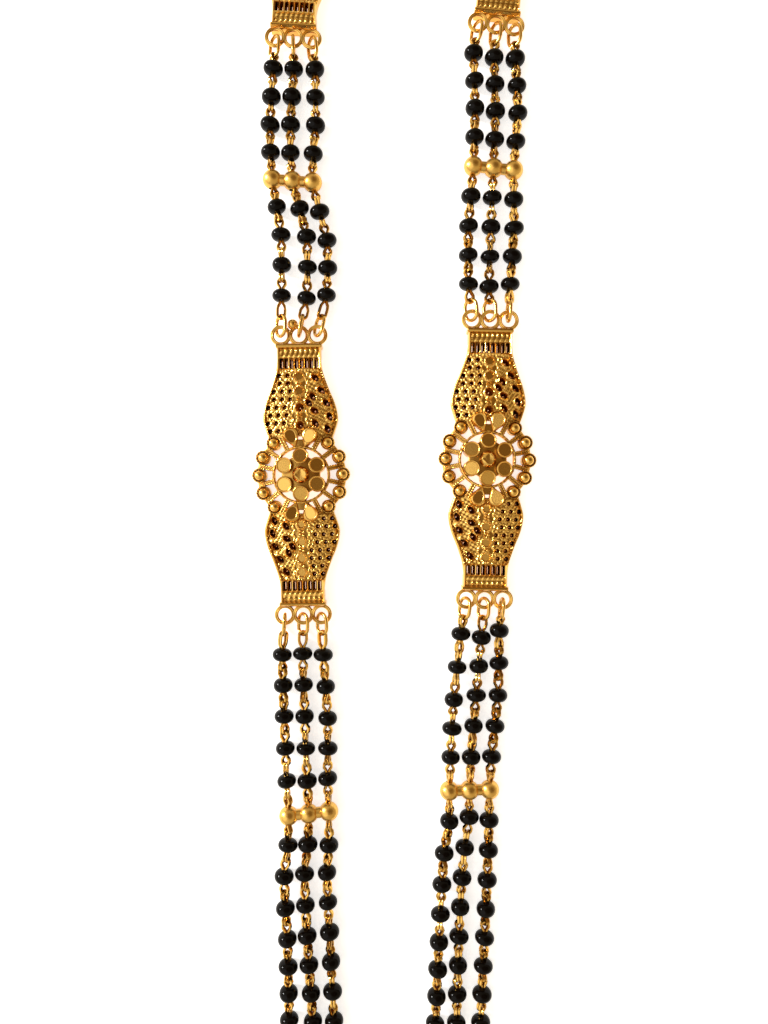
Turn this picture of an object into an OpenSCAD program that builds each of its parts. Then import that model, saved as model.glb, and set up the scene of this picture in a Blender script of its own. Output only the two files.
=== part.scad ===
// Three-strand black-bead mangalsutra, a closed loop lying flat on its back, in millimetres.
// X is across the loop, Y runs from the lower curve up to the clasp, and the loop lies on z = 0.

/* [Beads] */
// Diameter of a bead across its bore
bead_d = 3; // [2.6:0.05:3.05]
// Length of a bead along its bore
bead_l = 2.1; // [1.8:0.1:2.4]
// Space from the middle of one bead to the next, where the strands turn
bead_pitch = 4.7; // [4.4:0.1:5]
// Radial clearance of a bead's or spacer's bore round the chain
bore_gap = 0.11; // [0.11:0.01:0.2]

/* [Chain] */
// Width across the double wire of the chain
chain_d = 0.64; // [0.4:0.02:0.7]
// Gap left between the chain's end and the jump ring's wire
chain_end_gap = 0.16; // [0.14:0.02:0.3]
// Height of every strand's middle line above the surface
strand_z = 1.55; // [1.53:0.01:1.7]

/* [Jump rings] */
// Length of a jump ring along its strand
ring_l = 3.8; // [3.4:0.1:4]
// Width of a jump ring
ring_w = 2.9; // [2.7:0.05:3]
// Thickness of a jump ring's wire
ring_wire = 0.55; // [0.3:0.05:0.6]
// How far a jump ring reaches back past the middle of its eye
ring_back = 0.1; // [0:0.05:0.15]

/* [Spacer bars] */
// Diameter of a spacer's balls
ball_d = 3; // [2.6:0.05:3.05]
// Space from strand to strand, in the spacers and round the turns
strand_pitch = 3.15; // [3.1:0.05:3.3]
// Thickness of the necks that join the balls
ball_neck_d = 1.7; // [1:0.1:2]

/* [Plaque eyes and end bands] */
// Distance from the middle of a plaque to its row of eyes
eye_reach = 21.8; // [21.5:0.1:22.2]
// Space from eye to eye
eye_pitch = 2.85; // [2.8:0.05:2.95]
// Diameter of an eye's hole
eye_hole_d = 2.1; // [2:0.05:2.2]
// Width of the wire round an eye's hole
eye_wire = 0.55; // [0.45:0.05:0.6]
// Thickness of the eyes, level with the strands
eye_t = 0.8; // [0.6:0.05:0.85]
// Distance from the middle of a plaque to the outer edge of its end bar
bar_reach = 20.5; // [20.4:0.1:20.8]
// Length of the end bar along the plaque
bar_l = 0.7; // [0.5:0.1:0.9]
// Half width of the end bar
bar_half_w = 3.6; // [3.5:0.1:3.8]
// Height of the end bar
bar_h = 2.2; // [2.1:0.1:2.4]
// Distance from the middle of a plaque to the top of the vase
neck_reach = 18.1; // [18:0.1:18.4]
// Half width of the neck, also the width of the pitted band
neck_half_w = 3.4; // [3.3:0.05:3.6]
// Number of slots, and of pits, across the neck
slot_count = 8; // [6:1:8]
// Width of a slot
slot_w = 0.42; // [0.3:0.02:0.5]
// Length of a slot
slot_l = 1.4; // [1:0.1:1.5]

/* [Plaque vases] */
// Distance from the middle of a plaque to the waist of the vase
waist_reach = 5.9; // [5.8:0.1:6]
// Half width of the vase at its belly
belly_half_w = 5.85; // [5.7:0.05:6]
// Width of the raised rim of the vase
rim_w = 0.3; // [0.25:0.05:0.45]
// Height of the raised rims and settings over the fields
relief = 0.3; // [0.2:0.05:0.4]
// Diameter of the round holes of the lattice field
lattice_hole_d = 0.62; // [0.5:0.02:0.7]
// Space from row to row of the lattice
lattice_pitch = 1.23; // [1.2:0.01:1.35]
// Space from hole to hole along a row of the lattice
lattice_step = 1.3; // [1.2:0.05:1.5]
// Length of the leaf-shaped holes
leaf_l = 1.2; // [1:0.1:1.5]
// Width of the leaf-shaped holes
leaf_w = 0.7; // [0.5:0.05:0.8]
// Width of the raised edge round leaves and settings
edge_w = 0.22; // [0.15:0.01:0.25]

/* [Plaque dome] */
// Height of the rims' crown along the middle of a plaque
crown_h = 2.5; // [2.4:0.05:2.7]
// Radius of the dome across the plaque
dome_r = 16; // [15:0.5:18]
// Height of the hollow under the plaque
hollow_h = 1.3; // [1:0.05:1.4]
// Half width of the hollow at the surface it lies on
hollow_half_w = 5.1; // [4.8:0.1:5.3]

/* [Rosette] */
// Radius of the ring round the petals, to the middle of its wire
ring_r = 4.3; // [4.25:0.05:4.35]
// Thickness of that ring's wire
rosette_wire = 0.42; // [0.35:0.01:0.5]
// Radius of the circle that the petals' middles lie on
petal_reach = 2.95; // [2.9:0.05:3]
// Radius of a petal with its rim
petal_r = 1.25; // [1.22:0.01:1.3]
// Height of a petal's middle
petal_h = 2.75; // [2.65:0.05:2.9]
// Outward tilt of a petal's flat face, in degrees
petal_tilt = 8; // [0:1:12]
// Radius of the middle boss
boss_r = 1.2; // [1.1:0.01:1.3]
// Height of the middle boss
boss_h = 3.1; // [2.95:0.05:3.2]
// Radius of the floor that joins petals and boss
floor_r = 3; // [2.9:0.05:3.1]
// Radius of the circle that the boules' middles lie on
boule_reach = 6.5; // [6.45:0.05:6.6]
// Radius of a boule
boule_r = 0.86; // [0.8:0.01:0.9]
// Radius of the collar round a boule
collar_r = 1.08; // [1:0.01:1.1]
// Height of a collar
collar_h = 1.45; // [1.3:0.05:1.6]
// Angle from boule to boule
boule_step = 25; // [24:0.5:25.5]
// Width of the spokes between the ring and the boules
spoke_w = 0.5; // [0.4:0.05:0.6]
// Radius of the round end of a teardrop, with its rim
drop_r = 1.2; // [1.1:0.05:1.25]
// Height of a teardrop's face
drop_h = 2.9; // [2.8:0.05:3]

/* [Clasp] */
// Distance from the middle of the clasp to its eyes
clasp_reach = 5.5; // [5.3:0.1:6]
// Thickness of the clasp's bar
clasp_d = 3; // [2.6:0.1:3.1]
// Length of the clasp's bar along the strands
clasp_l = 7.6; // [7.5:0.1:8]

/* [Hidden] */
$fa = 6;
$fs = 0.15;
STRANDS = ["outer", "middle", "inner"];
STRAND_SIDES = [-1, 0, 1];

// Where the loop's own middle lies on the surface that the places below are measured on
loop_middle = [4.25, 34.4];

// Each plaque: name, x and y of its middle, and its turn in degrees, anticlockwise
PLAQUES = [
  ["left_upper", -13.05, 95.8, -3],
  ["left_middle", -12.95, 5.8, 0.9],
  ["right_middle", 16.15, 8.2, -1.2],
  ["right_upper", 19.6, 97.9, -5.5],
];
LEFT_UPPER = 0;
LEFT_MIDDLE = 1;
RIGHT_MIDDLE = 2;
RIGHT_UPPER = 3;

// The clasp: x and y of its middle
clasp_at = [5.5, 160];

// Each spacer that lies in a stretch with chosen places: x and y of its middle, and its turn
SPACER_LEFT_UPPER = [-14.3, 51.7, -4.4];
SPACER_RIGHT_UPPER = [17.1, 53.7, -5.8];
SPACER_LEFT_LOWER = [-11.75, -47.1, 6.4];
SPACER_RIGHT_LOWER = [13.35, -43.45, 1.8];
upper_spacer_item = 4;
lower_spacer_item = 5;

// The strands' chosen places. Every row is the number of a bead, counted from the plaque, and
// its x and y. The beads between two rows follow on a smooth curve through them. The strands
// are in order from the left of the loop to the right.
strand_places = [
  // Left, from the upper plaque down to the middle one
  [
    [[0, -17.3, 69.3], [2, -17.8, 60.5], [6, -16.1, 43.3], [8, -16, 33.8]],
    [[0, -14.1, 69.2], [2, -14.6, 60.5], [6, -12.1, 43], [8, -12.1, 33.4]],
    [[0, -10.8, 69.1], [2, -10.7, 60.4], [6, -8.9, 42.4], [8, -9, 33.9]],
  ],
  // Right, from the upper plaque down to the middle one
  [
    [[0, 14, 71.7], [2, 14.2, 63.1], [6, 13.2, 44.7], [8, 13.2, 35.6]],
    [[0, 17.2, 71], [2, 17.4, 62.6], [6, 16.7, 44.5], [8, 16.4, 35.2]],
    [[0, 20.5, 70.8], [2, 20.9, 62.3], [6, 20.3, 44.3], [8, 19.7, 35.6]],
  ],
  // Left, from the middle plaque down to the lower curve
  [
    [[0, -15.9, -22.3], [2, -15.6, -31.9], [4, -15.2, -42], [6, -15, -52],
     [7, -15.6, -56.9], [9, -15.1, -66.7], [12, -14.8, -79.3]],
    [[0, -12.7, -22.1], [2, -12.4, -31.9], [4, -12, -42], [6, -11.9, -51.9],
     [7, -12.4, -56.5], [9, -12, -66.2], [12, -11.1, -79.6]],
    [[0, -9.5, -22.3], [2, -8.8, -32.2], [4, -8.8, -41.6], [6, -8.6, -52],
     [7, -8.9, -56.3], [9, -8.5, -65.6], [12, -7.8, -79.5]],
  ],
  // Right, from the middle plaque down to the lower curve
  [
    [[0, 12, -19], [2, 10.9, -29.3], [4, 10.4, -38.3], [6, 10.2, -48.3],
     [7, 9.4, -53.3], [9, 8.8, -62.8], [13, 8, -79.9]],
    [[0, 15.2, -19.6], [2, 14.4, -28.6], [4, 13.6, -38.3], [6, 13.3, -47.6],
     [7, 12.6, -52.4], [9, 11.9, -61.7], [13, 11.3, -79.8]],
    [[0, 18, -18.5], [2, 17.8, -28.6], [4, 16.8, -38.2], [6, 16.4, -48.1],
     [7, 16.3, -52.8], [9, 15.9, -62], [13, 15.1, -79.7]],
  ],
];

// How far each jump ring is rolled out of the level, in degrees: 0 would lie flat, 90 stands on edge
ROLL_OPEN = 48;
ROLL_HALF = 55;
ROLL_EDGE = 86;

// Distance from an eye to the first bead, and to the spacer, in the stretches by the clasp
top_lead = 5.5;
top_spacer_lead = 24;
// Radius of the middle strand's turn by the clasp
top_turn_r = 10;

// Across, along: the unit vectors of something turned by an angle
function across(turn) = [cos(turn), sin(turn)];
function along(turn) = [-sin(turn), cos(turn)];
function turn_of(v) = atan2(-v[0], v[1]);
function unit(v) = v / norm(v);
function flat(lists) = [for (list = lists) each list];

// A smooth curve through rows of [number, values...], read at any number
function slope(rows, k) =
  let (a = rows[max(k - 1, 0)], b = rows[min(k + 1, len(rows) - 1)])
  (b - a) / (b[0] - a[0]);
function curve_at(rows, n) =
  let (
    k = max([for (j = [0 : len(rows) - 2]) if (j == 0 || rows[j][0] <= n) j]),
    a = rows[k],
    b = rows[k + 1],
    span = b[0] - a[0],
    t = (n - a[0]) / span
  )
  a * (2 * pow(t, 3) - 3 * pow(t, 2) + 1) + slope(rows, k) * span * (pow(t, 3) - 2 * pow(t, 2) + t)
  + b * (3 * pow(t, 2) - 2 * pow(t, 3)) + slope(rows, k + 1) * span * (pow(t, 3) - pow(t, 2));
function xy(v) = [v[len(v) - 2], v[len(v) - 1]];

// Where the eyes are. An end is 1 for the upper and -1 for the lower, a side is -1, 0 or 1.
function plaque_turn(p) = PLAQUES[p][3];
function plaque_at(p) = [PLAQUES[p][1], PLAQUES[p][2]];
function plaque_eye(p, end, side) =
  plaque_at(p) + end * eye_reach * along(plaque_turn(p)) + side * eye_pitch * across(plaque_turn(p));
function clasp_eye(end, side) = clasp_at + [end * clasp_reach, side * strand_pitch];

// The upper stretches: their chosen places with the spacer's put between them
function spacer_place(spacer, side) =
  [spacer[0], spacer[1]] + side * strand_pitch * across(spacer[2]);
function with_spacer(rows, item, spacer, side) = [
  for (row = rows) if (row[0] < item) row,
  concat(item, spacer_place(spacer, side)),
  for (row = rows) if (row[0] > item) row
];
function chosen_beads(rows) =
  [for (n = [rows[0][0] : rows[len(rows) - 1][0]]) xy(curve_at(rows, n))];

// The lower curve: a half circle from a to b, shared out in steps of about one bead's pitch
function turned(v, angle) =
  [v[0] * cos(angle) - v[1] * sin(angle), v[0] * sin(angle) + v[1] * cos(angle)];
function half_circle(a, b) =
  let (middle = (a + b) / 2, steps = round(PI * norm(a - b) / 2 / bead_pitch))
  [for (n = [1 : steps - 1]) middle + turned(a - middle, 180 * n / steps)];

// The stretches by the clasp: straight on from the plaque, a quarter turn, and straight to the
// clasp. A hand is 1 on the loop's left and -1 on its right, and d is the distance from the eyes.
function lane_r(hand, side) = top_turn_r - hand * side * strand_pitch;
function lane_straight(p, hand) =
  let (eye = plaque_eye(p, 1, 0), inward = hand * across(plaque_turn(p)))
  (clasp_at[1] - top_turn_r - eye[1] - top_turn_r * inward[1]) / along(plaque_turn(p))[1];
function lane_middle(p, hand) =
  plaque_eye(p, 1, 0) + lane_straight(p, hand) * along(plaque_turn(p))
  + top_turn_r * hand * across(plaque_turn(p));
function lane_angle(p, hand) = 90 + hand * plaque_turn(p);
function lane_arc(p, hand, side) = PI * lane_r(hand, side) * lane_angle(p, hand) / 180;
function lane_length(p, hand, side) =
  lane_straight(p, hand) + lane_arc(p, hand, side)
  + hand * (clasp_eye(-hand, 0)[0] - lane_middle(p, hand)[0]);
function lane_place(p, hand, side, d) =
  let (
    straight = lane_straight(p, hand),
    arc = lane_arc(p, hand, side),
    start = -hand * lane_r(hand, side) * across(plaque_turn(p)),
    angle = lane_angle(p, hand) * max(0, min(1, (d - straight) / arc)),
    before = min(0, d - straight) * along(plaque_turn(p)),
    after = [hand * max(0, d - straight - arc), 0]
  )
  lane_middle(p, hand) + turned(start, -hand * angle) + before + after;
function lane_beads(p, hand, side) =
  let (
    last = lane_length(p, hand, side) - top_lead,
    steps = round((last - top_spacer_lead) / bead_pitch)
  )
  [
    for (n = [0 : upper_spacer_item - 1])
      lane_place(p, hand, side, top_lead + (top_spacer_lead - top_lead) * n / upper_spacer_item),
    for (n = [0 : steps])
      lane_place(p, hand, side, top_spacer_lead + (last - top_spacer_lead) * n / steps)
  ];

// Each stretch has a name and three strands from the outer to the inner one. A strand is its
// first eye, its last eye, the middles of its beads and spacer balls in order, and the numbers
// and turns of the spacer balls among them.
function reversed(list) = [for (n = [len(list) - 1 : -1 : 0]) list[n]];
function upper_strand(upper, middle, places, spacer, side) = [
  plaque_eye(upper, -1, side),
  plaque_eye(middle, 1, side),
  chosen_beads(with_spacer(places[side + 1], upper_spacer_item, spacer, side)),
  [[upper_spacer_item, spacer[2]]],
];
function top_strand(p, hand, side) = [
  plaque_eye(p, 1, side),
  clasp_eye(-hand, -hand * side),
  lane_beads(p, hand, side),
  [[upper_spacer_item, plaque_turn(p)]],
];
function lower_strand(side) =
  let (
    left = chosen_beads(with_spacer(
      strand_places[2][side + 1], lower_spacer_item, SPACER_LEFT_LOWER, side)),
    right = chosen_beads(with_spacer(
      strand_places[3][1 - side], lower_spacer_item, SPACER_RIGHT_LOWER, -side)),
    turn = half_circle(left[len(left) - 1], right[len(right) - 1]),
    beads = concat(left, turn, reversed(right))
  )
  [
    plaque_eye(LEFT_MIDDLE, -1, side),
    plaque_eye(RIGHT_MIDDLE, -1, -side),
    beads,
    [[lower_spacer_item, SPACER_LEFT_LOWER[2]],
     [len(beads) - 1 - lower_spacer_item, SPACER_RIGHT_LOWER[2]]],
  ];
STRETCHES = [
  ["left_top", [for (side = STRAND_SIDES) top_strand(LEFT_UPPER, 1, side)]],
  ["left_upper", [for (side = STRAND_SIDES)
    upper_strand(LEFT_UPPER, LEFT_MIDDLE, strand_places[0], SPACER_LEFT_UPPER, side)]],
  ["lower", [for (side = STRAND_SIDES) lower_strand(side)]],
  ["right_upper", [for (side = STRAND_SIDES)
    upper_strand(RIGHT_UPPER, RIGHT_MIDDLE, strand_places[1], SPACER_RIGHT_UPPER, -side)]],
  ["right_top", [for (side = STRAND_SIDES) top_strand(RIGHT_UPPER, -1, -side)]],
];

// Reading a strand
function first_eye(strand) = strand[0];
function last_eye(strand) = strand[1];
function places(strand) = strand[2];
function spacer_turns(strand, n) = [for (spacer = strand[3]) if (spacer[0] == n) spacer[1]];
function is_spacer(strand, n) = len(spacer_turns(strand, n)) > 0;
function heading(strand, n) =
  let (
    list = places(strand),
    before = n == 0 ? first_eye(strand) : list[n - 1],
    after = n == len(list) - 1 ? last_eye(strand) : list[n + 1],
    way = unit(after - before),
    bar = along(is_spacer(strand, n) ? spacer_turns(strand, n)[0] : 0)
  )
  is_spacer(strand, n) ? bar * sign(bar * way) : way;

// Where a jump ring ends, measured from the middle of its eye, and where the chain starts
ring_front = ring_l - ring_wire - ring_back;
chain_start = ring_front + ring_wire / 2 + chain_end_gap;

// The chain is straight through every bead and bends between them. A station is a place on its
// middle line and the way it runs there.
function chain_end(eye, bead) =
  let (way = unit(bead - eye), most = norm(bead - eye) - bead_l / 2 - 2 * bore_gap)
  eye + way * min(chain_start, most);
function chain_stations(strand) =
  let (list = places(strand), last = len(list) - 1)
  [
    [chain_end(first_eye(strand), list[0]), heading(strand, 0)],
    for (n = [0 : last], end = [-1, 1])
      let (half_l = (is_spacer(strand, n) ? ball_d : bead_l) / 2)
      [list[n] + end * heading(strand, n) * (half_l + bore_gap), heading(strand, n)],
    [chain_end(last_eye(strand), list[last]), heading(strand, last)],
  ];
CHAIN_SIDES = 8;
function chain_ring(station) =
  let (place = station[0], side = [station[1][1], -station[1][0]])
  [for (k = [0 : CHAIN_SIDES - 1])
    let (angle = 360 * (k + 0.5) / CHAIN_SIDES, r = chain_d / 2)
    concat(place + side * r * cos(angle), strand_z + r * sin(angle))];
function chain_side_faces(rings) = [
  for (n = [0 : rings - 2], k = [0 : CHAIN_SIDES - 1])
    let (
      a = n * CHAIN_SIDES + k,
      b = n * CHAIN_SIDES + (k + 1) % CHAIN_SIDES,
      c = b + CHAIN_SIDES,
      d = a + CHAIN_SIDES
    )
    each [[a, b, c], [a, c, d]]
];

module chain(strand) {
  rings = [for (station = chain_stations(strand)) chain_ring(station)];
  last_ring = (len(rings) - 1) * CHAIN_SIDES;
  color("#B98A35")
    polyhedron(
      flat(rings),
      concat(
        [[for (k = [CHAIN_SIDES - 1 : -1 : 0]) k]],
        chain_side_faces(len(rings)),
        [[for (k = [0 : CHAIN_SIDES - 1]) last_ring + k]]
      )
    );
}

module turned_along(place, way, z = strand_z) {
  translate([place[0], place[1], z]) rotate(turn_of(way)) children();
}

// A bead on its back, its bore along Y: a rounded barrel with a small flat round the bore
bore_r = chain_d / 2 + bore_gap;
module bead() {
  rotate([90, 0, 0])
    rotate_extrude()
      intersection() {
        union() {
          translate([bead_d / 2 - bead_l / 2, 0]) circle(bead_l / 2);
          translate([0, -bead_l / 2]) square([bead_d / 2 - bead_l / 2, bead_l]);
        }
        translate([bore_r, -bead_l]) square([bead_d, 2 * bead_l]);
      }
}
module beads(strand) {
  color("#120D0A")
    for (n = [0 : len(places(strand)) - 1])
      if (!is_spacer(strand, n))
        turned_along(places(strand)[n], heading(strand, n)) bead();
}

// A spacer: three balls on a neck, drilled along Y
module spacer(place) {
  color("#D9A94E")
    turned_along([place[0], place[1]], along(place[2]))
      difference() {
        union() {
          for (side = STRAND_SIDES) translate([side * strand_pitch, 0, 0]) sphere(d = ball_d);
          rotate([0, 90, 0]) cylinder(h = 2 * strand_pitch, d = ball_neck_d, center = true);
        }
        for (side = STRAND_SIDES)
          translate([side * strand_pitch, 0, 0])
            rotate([90, 0, 0]) cylinder(h = 2 * ball_d, r = bore_r, center = true);
      }
}
function top_spacer(p) =
  concat(plaque_eye(p, 1, 0) + top_spacer_lead * along(plaque_turn(p)), plaque_turn(p));
SPACERS = [
  ["spacer_left_top", top_spacer(LEFT_UPPER)],
  ["spacer_left_upper", SPACER_LEFT_UPPER],
  ["spacer_left_lower", SPACER_LEFT_LOWER],
  ["spacer_right_lower", SPACER_RIGHT_LOWER],
  ["spacer_right_upper", SPACER_RIGHT_UPPER],
  ["spacer_right_top", top_spacer(RIGHT_UPPER)],
];

// A jump ring, an oval of round wire along Y, with its near end at the origin
module ring() {
  bend_r = (ring_w - ring_wire) / 2;
  straight = ring_l - ring_w;
  translate([0, bend_r, 0]) {
    for (end = [0, 1])
      translate([0, end * straight, 0])
        rotate(end * 180)
          rotate_extrude(angle = -180) translate([bend_r, 0]) circle(d = ring_wire);
    for (side = [-1, 1])
      translate([side * bend_r, 0, 0])
        rotate([-90, 0, 0]) cylinder(h = straight, d = ring_wire);
  }
}
module ring_at(eye, bead, roll) {
  way = unit(bead - eye);
  color("#C9973B")
    turned_along(eye - way * ring_back, way) rotate([0, -roll * sign(way[1]), 0]) ring();
}
RING_SETS = [
  ["clasp_left", 0, 1, [ROLL_OPEN, ROLL_EDGE, ROLL_HALF]],
  ["left_upper_top", 0, 0, [ROLL_HALF, ROLL_OPEN, ROLL_EDGE]],
  ["left_upper_bottom", 1, 0, [ROLL_OPEN, ROLL_EDGE, ROLL_HALF]],
  ["left_middle_top", 1, 1, [ROLL_OPEN, ROLL_EDGE, ROLL_HALF]],
  ["left_middle_bottom", 2, 0, [ROLL_EDGE, ROLL_OPEN, ROLL_OPEN]],
  ["right_middle_bottom", 2, 1, [ROLL_EDGE, ROLL_HALF, ROLL_HALF]],
  ["right_middle_top", 3, 1, [ROLL_EDGE, ROLL_OPEN, ROLL_OPEN]],
  ["right_upper_bottom", 3, 0, [ROLL_OPEN, ROLL_HALF, ROLL_HALF]],
  ["right_upper_top", 4, 0, [ROLL_HALF, ROLL_EDGE, ROLL_OPEN]],
  ["clasp_right", 4, 1, [ROLL_EDGE, ROLL_OPEN, ROLL_HALF]],
];
module rings(set) {
  for (k = [0 : 2]) {
    strand = STRETCHES[set[1]][1][k];
    list = places(strand);
    if (set[2] == 0) ring_at(first_eye(strand), list[0], set[3][k]);
    else ring_at(last_eye(strand), list[len(list) - 1], set[3][k]);
  }
}

// A plaque lies with its middle at the origin and its length along Y. Its lower half is its
// upper half turned half round.
module both_halves() {
  for (turn = [0, 180]) rotate(turn) children();
}

// The vase's outline: rows of the share of its length from the waist, and of its belly's half width
VASE_ROWS = [
  [0, 0.86], [0.08, 0.92], [0.22, 1], [0.34, 0.98], [0.47, 0.905],
  [0.59, 0.8], [0.72, 0.7], [0.85, 0.615], [1, 0.575],
];
VASE_STEPS = 24;
vase_l = neck_reach - waist_reach;
function vase_half_w(y) = belly_half_w * curve_at(VASE_ROWS, (y - waist_reach) / vase_l)[1];
module vase_outline(inset) {
  edge = [
    for (n = [0 : VASE_STEPS])
      let (y = waist_reach + vase_l * n / VASE_STEPS) [vase_half_w(y) - inset, y]
  ];
  polygon(concat(edge, reversed([for (point = edge) [-point[0], point[1]]])));
}

// The round settings down the middle of a vase: share of its length, and radius
SETTINGS = [[0.765, 0.86], [0.58, 0.86], [0.373, 0.84], [0.148, 0.76]];
module settings(inset) {
  for (row = SETTINGS) translate([0, waist_reach + vase_l * row[0]]) circle(row[1] - inset);
}

// The leaf field on the right of the upper vase. Each leaf: share of the vase's length, share of
// its half width there, and turn in degrees, anticlockwise
LEAVES = [
  [0.1, 0.78, 24], [0.26, 0.78, 24], [0.43, 0.76, 46], [0.59, 0.72, 48],
  [0.17, 0.42, 38], [0.33, 0.4, 56], [0.43, 0.26, 40], [0.51, 0.4, 28], [0.75, 0.62, 42],
];
module leaf(grow) {
  half_l = leaf_l / 2 + grow;
  half_w = leaf_w / 2 + grow;
  r = (pow(half_l, 2) + pow(half_w, 2)) / (2 * half_w);
  intersection() {
    translate([r - half_w, 0]) circle(r);
    translate([half_w - r, 0]) circle(r);
  }
}
module leaves(grow) {
  for (row = LEAVES) {
    y = waist_reach + vase_l * row[0];
    translate([row[1] * vase_half_w(y), y]) rotate(row[2]) leaf(grow);
  }
}

// The slots under the neck, and the pits of the band over it
slot_step = 2 * (neck_half_w - rim_w) / slot_count;
module slot_row(y, l) {
  for (n = [0 : slot_count - 1])
    translate([slot_step * (n + 0.5 - slot_count / 2), y]) square([slot_w, l], center = true);
}
module slots() {
  slot_row(neck_reach - slot_l / 2 - slot_w / 4, slot_l);
}

// The rosette's plan
boule_angles = [for (hand = [0, 180], n = [-2 : 2]) hand + n * boule_step];
spoke_angles = [for (hand = [0, 180], n = [-2.5 : 1 : 2.5]) hand + n * boule_step];
petal_angles = [30 : 60 : 330];
band_r = boule_reach + spoke_w;
band_w = 2 * spoke_w;
module round_places(angles, r) {
  for (angle = angles) rotate(angle) translate([r, 0]) children();
}
module ring_disc(r, w) {
  difference() {
    circle(r + w / 2);
    circle(r - w / 2);
  }
}

// The teardrops over the ring: a round end and a tip towards the middle of the rosette
DROP_MIDDLE = [1.5, 6.15];
DROP_TIP = [0.72, 4.3];
DROP_STEPS = 24;
// The ledge of plate that shows round a teardrop
drop_ledge = edge_w / 2;
module teardrop(grow) {
  r = drop_r + grow;
  reach = norm(DROP_MIDDLE - DROP_TIP) + grow;
  way = unit(DROP_TIP - DROP_MIDDLE);
  touch = acos(r / reach);
  turn = 360 - 2 * touch;
  start = atan2(way[1], way[0]) + touch;
  polygon([
    DROP_MIDDLE + reach * way,
    for (n = [0 : DROP_STEPS])
      let (angle = start + turn * n / DROP_STEPS) DROP_MIDDLE + r * [cos(angle), sin(angle)]
  ]);
}
module teardrops(grow) {
  for (side = [0, 1]) mirror([side, 0]) teardrop(grow);
}

// The lattice field on the left of the upper vase: rows of round holes, laid from the rim
// inwards, the first of them lattice_lead pitches from the waist. Every second row after it is
// set in from the rim by a share of the step.
lattice_lead = 0.78;
lattice_lip = 0.04;
lattice_set_in = 0.4;
lattice_inner = SETTINGS[0][1] + lattice_hole_d / 2 + edge_w;
lattice_rows =
  1 + floor((vase_l - slot_l - lattice_hole_d) / lattice_pitch - lattice_lead);
function lattice_first(n) =
  vase_half_w(waist_reach + lattice_pitch * (n + lattice_lead)) - rim_w - lattice_lip
  - lattice_hole_d / 2 - (n > 0 && n % 2 == 0 ? lattice_set_in * lattice_step : 0);
module lattice_holes() {
  for (n = [0 : lattice_rows - 1]) {
    y = waist_reach + lattice_pitch * (n + lattice_lead);
    for (x = [lattice_first(n) : -lattice_step : lattice_inner])
      if (norm([x, y] - DROP_MIDDLE) > drop_r + lattice_hole_d)
        translate([-x, y]) circle(d = lattice_hole_d);
  }
}

// Openings between the petals and the ring, and between the ring and the boules
module petal_openings() {
  difference() {
    circle(ring_r - rosette_wire / 2);
    circle(floor_r);
    round_places(petal_angles, petal_reach) circle(petal_r);
  }
}
module boule_openings() {
  difference() {
    circle(band_r - band_w);
    circle(ring_r + rosette_wire / 2);
    round_places(boule_angles, boule_reach) circle(collar_r);
    round_places(spoke_angles, band_r / 2) square([band_r, spoke_w], center = true);
    both_halves() {
      teardrops(drop_ledge);
      translate([0, ring_r]) square([2 * DROP_TIP[0] + spoke_w, 2 * drop_r], center = true);
    }
  }
}

module plaque_outline() {
  circle(band_r);
  round_places(boule_angles, boule_reach) circle(collar_r);
  both_halves() vase_outline(0);
}
module sunk_fields() {
  difference() {
    both_halves() vase_outline(rim_w);
    circle(ring_r + 2 * rosette_wire);
    both_halves() {
      settings(0);
      leaves(edge_w);
      teardrops(drop_ledge);
    }
  }
  circle(ring_r - rosette_wire / 2);
}
module openings() {
  petal_openings();
  boule_openings();
  both_halves() {
    settings(edge_w);
    leaves(0);
    lattice_holes();
    slots();
  }
}

// Taller than all that is cut by an outline
cut_h = crown_h + 1;

// The dome that the plaque's front is cut to, with its crown at a height
module dome(crown) {
  translate([0, 0, crown - dome_r])
    rotate([90, 0, 0]) cylinder(h = 2 * eye_reach, r = dome_r, center = true, $fn = 180);
}
module hollow() {
  r = (pow(hollow_half_w, 2) + pow(hollow_h, 2)) / (2 * hollow_h);
  translate([0, 0, hollow_h - r])
    rotate([90, 0, 0]) cylinder(h = 2 * neck_reach, r = r, center = true, $fn = 120);
}
module pierced_plate() {
  difference() {
    intersection() {
      linear_extrude(cut_h) plaque_outline();
      dome(crown_h);
    }
    difference() {
      linear_extrude(cut_h) sunk_fields();
      dome(crown_h - relief);
    }
    hollow();
  }
}

// The end bands: a pitted plate, a bar over it and the row of eyes
band_h = bar_h - relief;
pit_share = 0.6;
module end_band() {
  band_l = bar_reach - bar_l - neck_reach;
  difference() {
    translate([-neck_half_w, neck_reach - slot_w / 2, 0])
      cube([2 * neck_half_w, bar_reach - neck_reach, band_h]);
    translate([0, 0, band_h - relief])
      linear_extrude(bar_h)
        slot_row(neck_reach + band_l / 2, band_l * pit_share);
  }
  translate([-bar_half_w, bar_reach - bar_l, 0]) cube([2 * bar_half_w, bar_l, bar_h]);
}
eye_r = eye_hole_d / 2 + eye_wire;
// A row of eyes, each with a shank that is rooted in what carries it
module eyes(reach, pitch, root) {
  shank_l = reach - eye_hole_d / 2 - root;
  translate([0, 0, strand_z - eye_t / 2])
    linear_extrude(eye_t)
      difference() {
        for (side = STRAND_SIDES) {
          translate([side * pitch, reach]) circle(eye_r);
          translate([side * pitch, root + shank_l / 2])
            square([eye_wire, shank_l], center = true);
        }
        for (side = STRAND_SIDES) translate([side * pitch, reach]) circle(d = eye_hole_d);
      }
}

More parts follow.
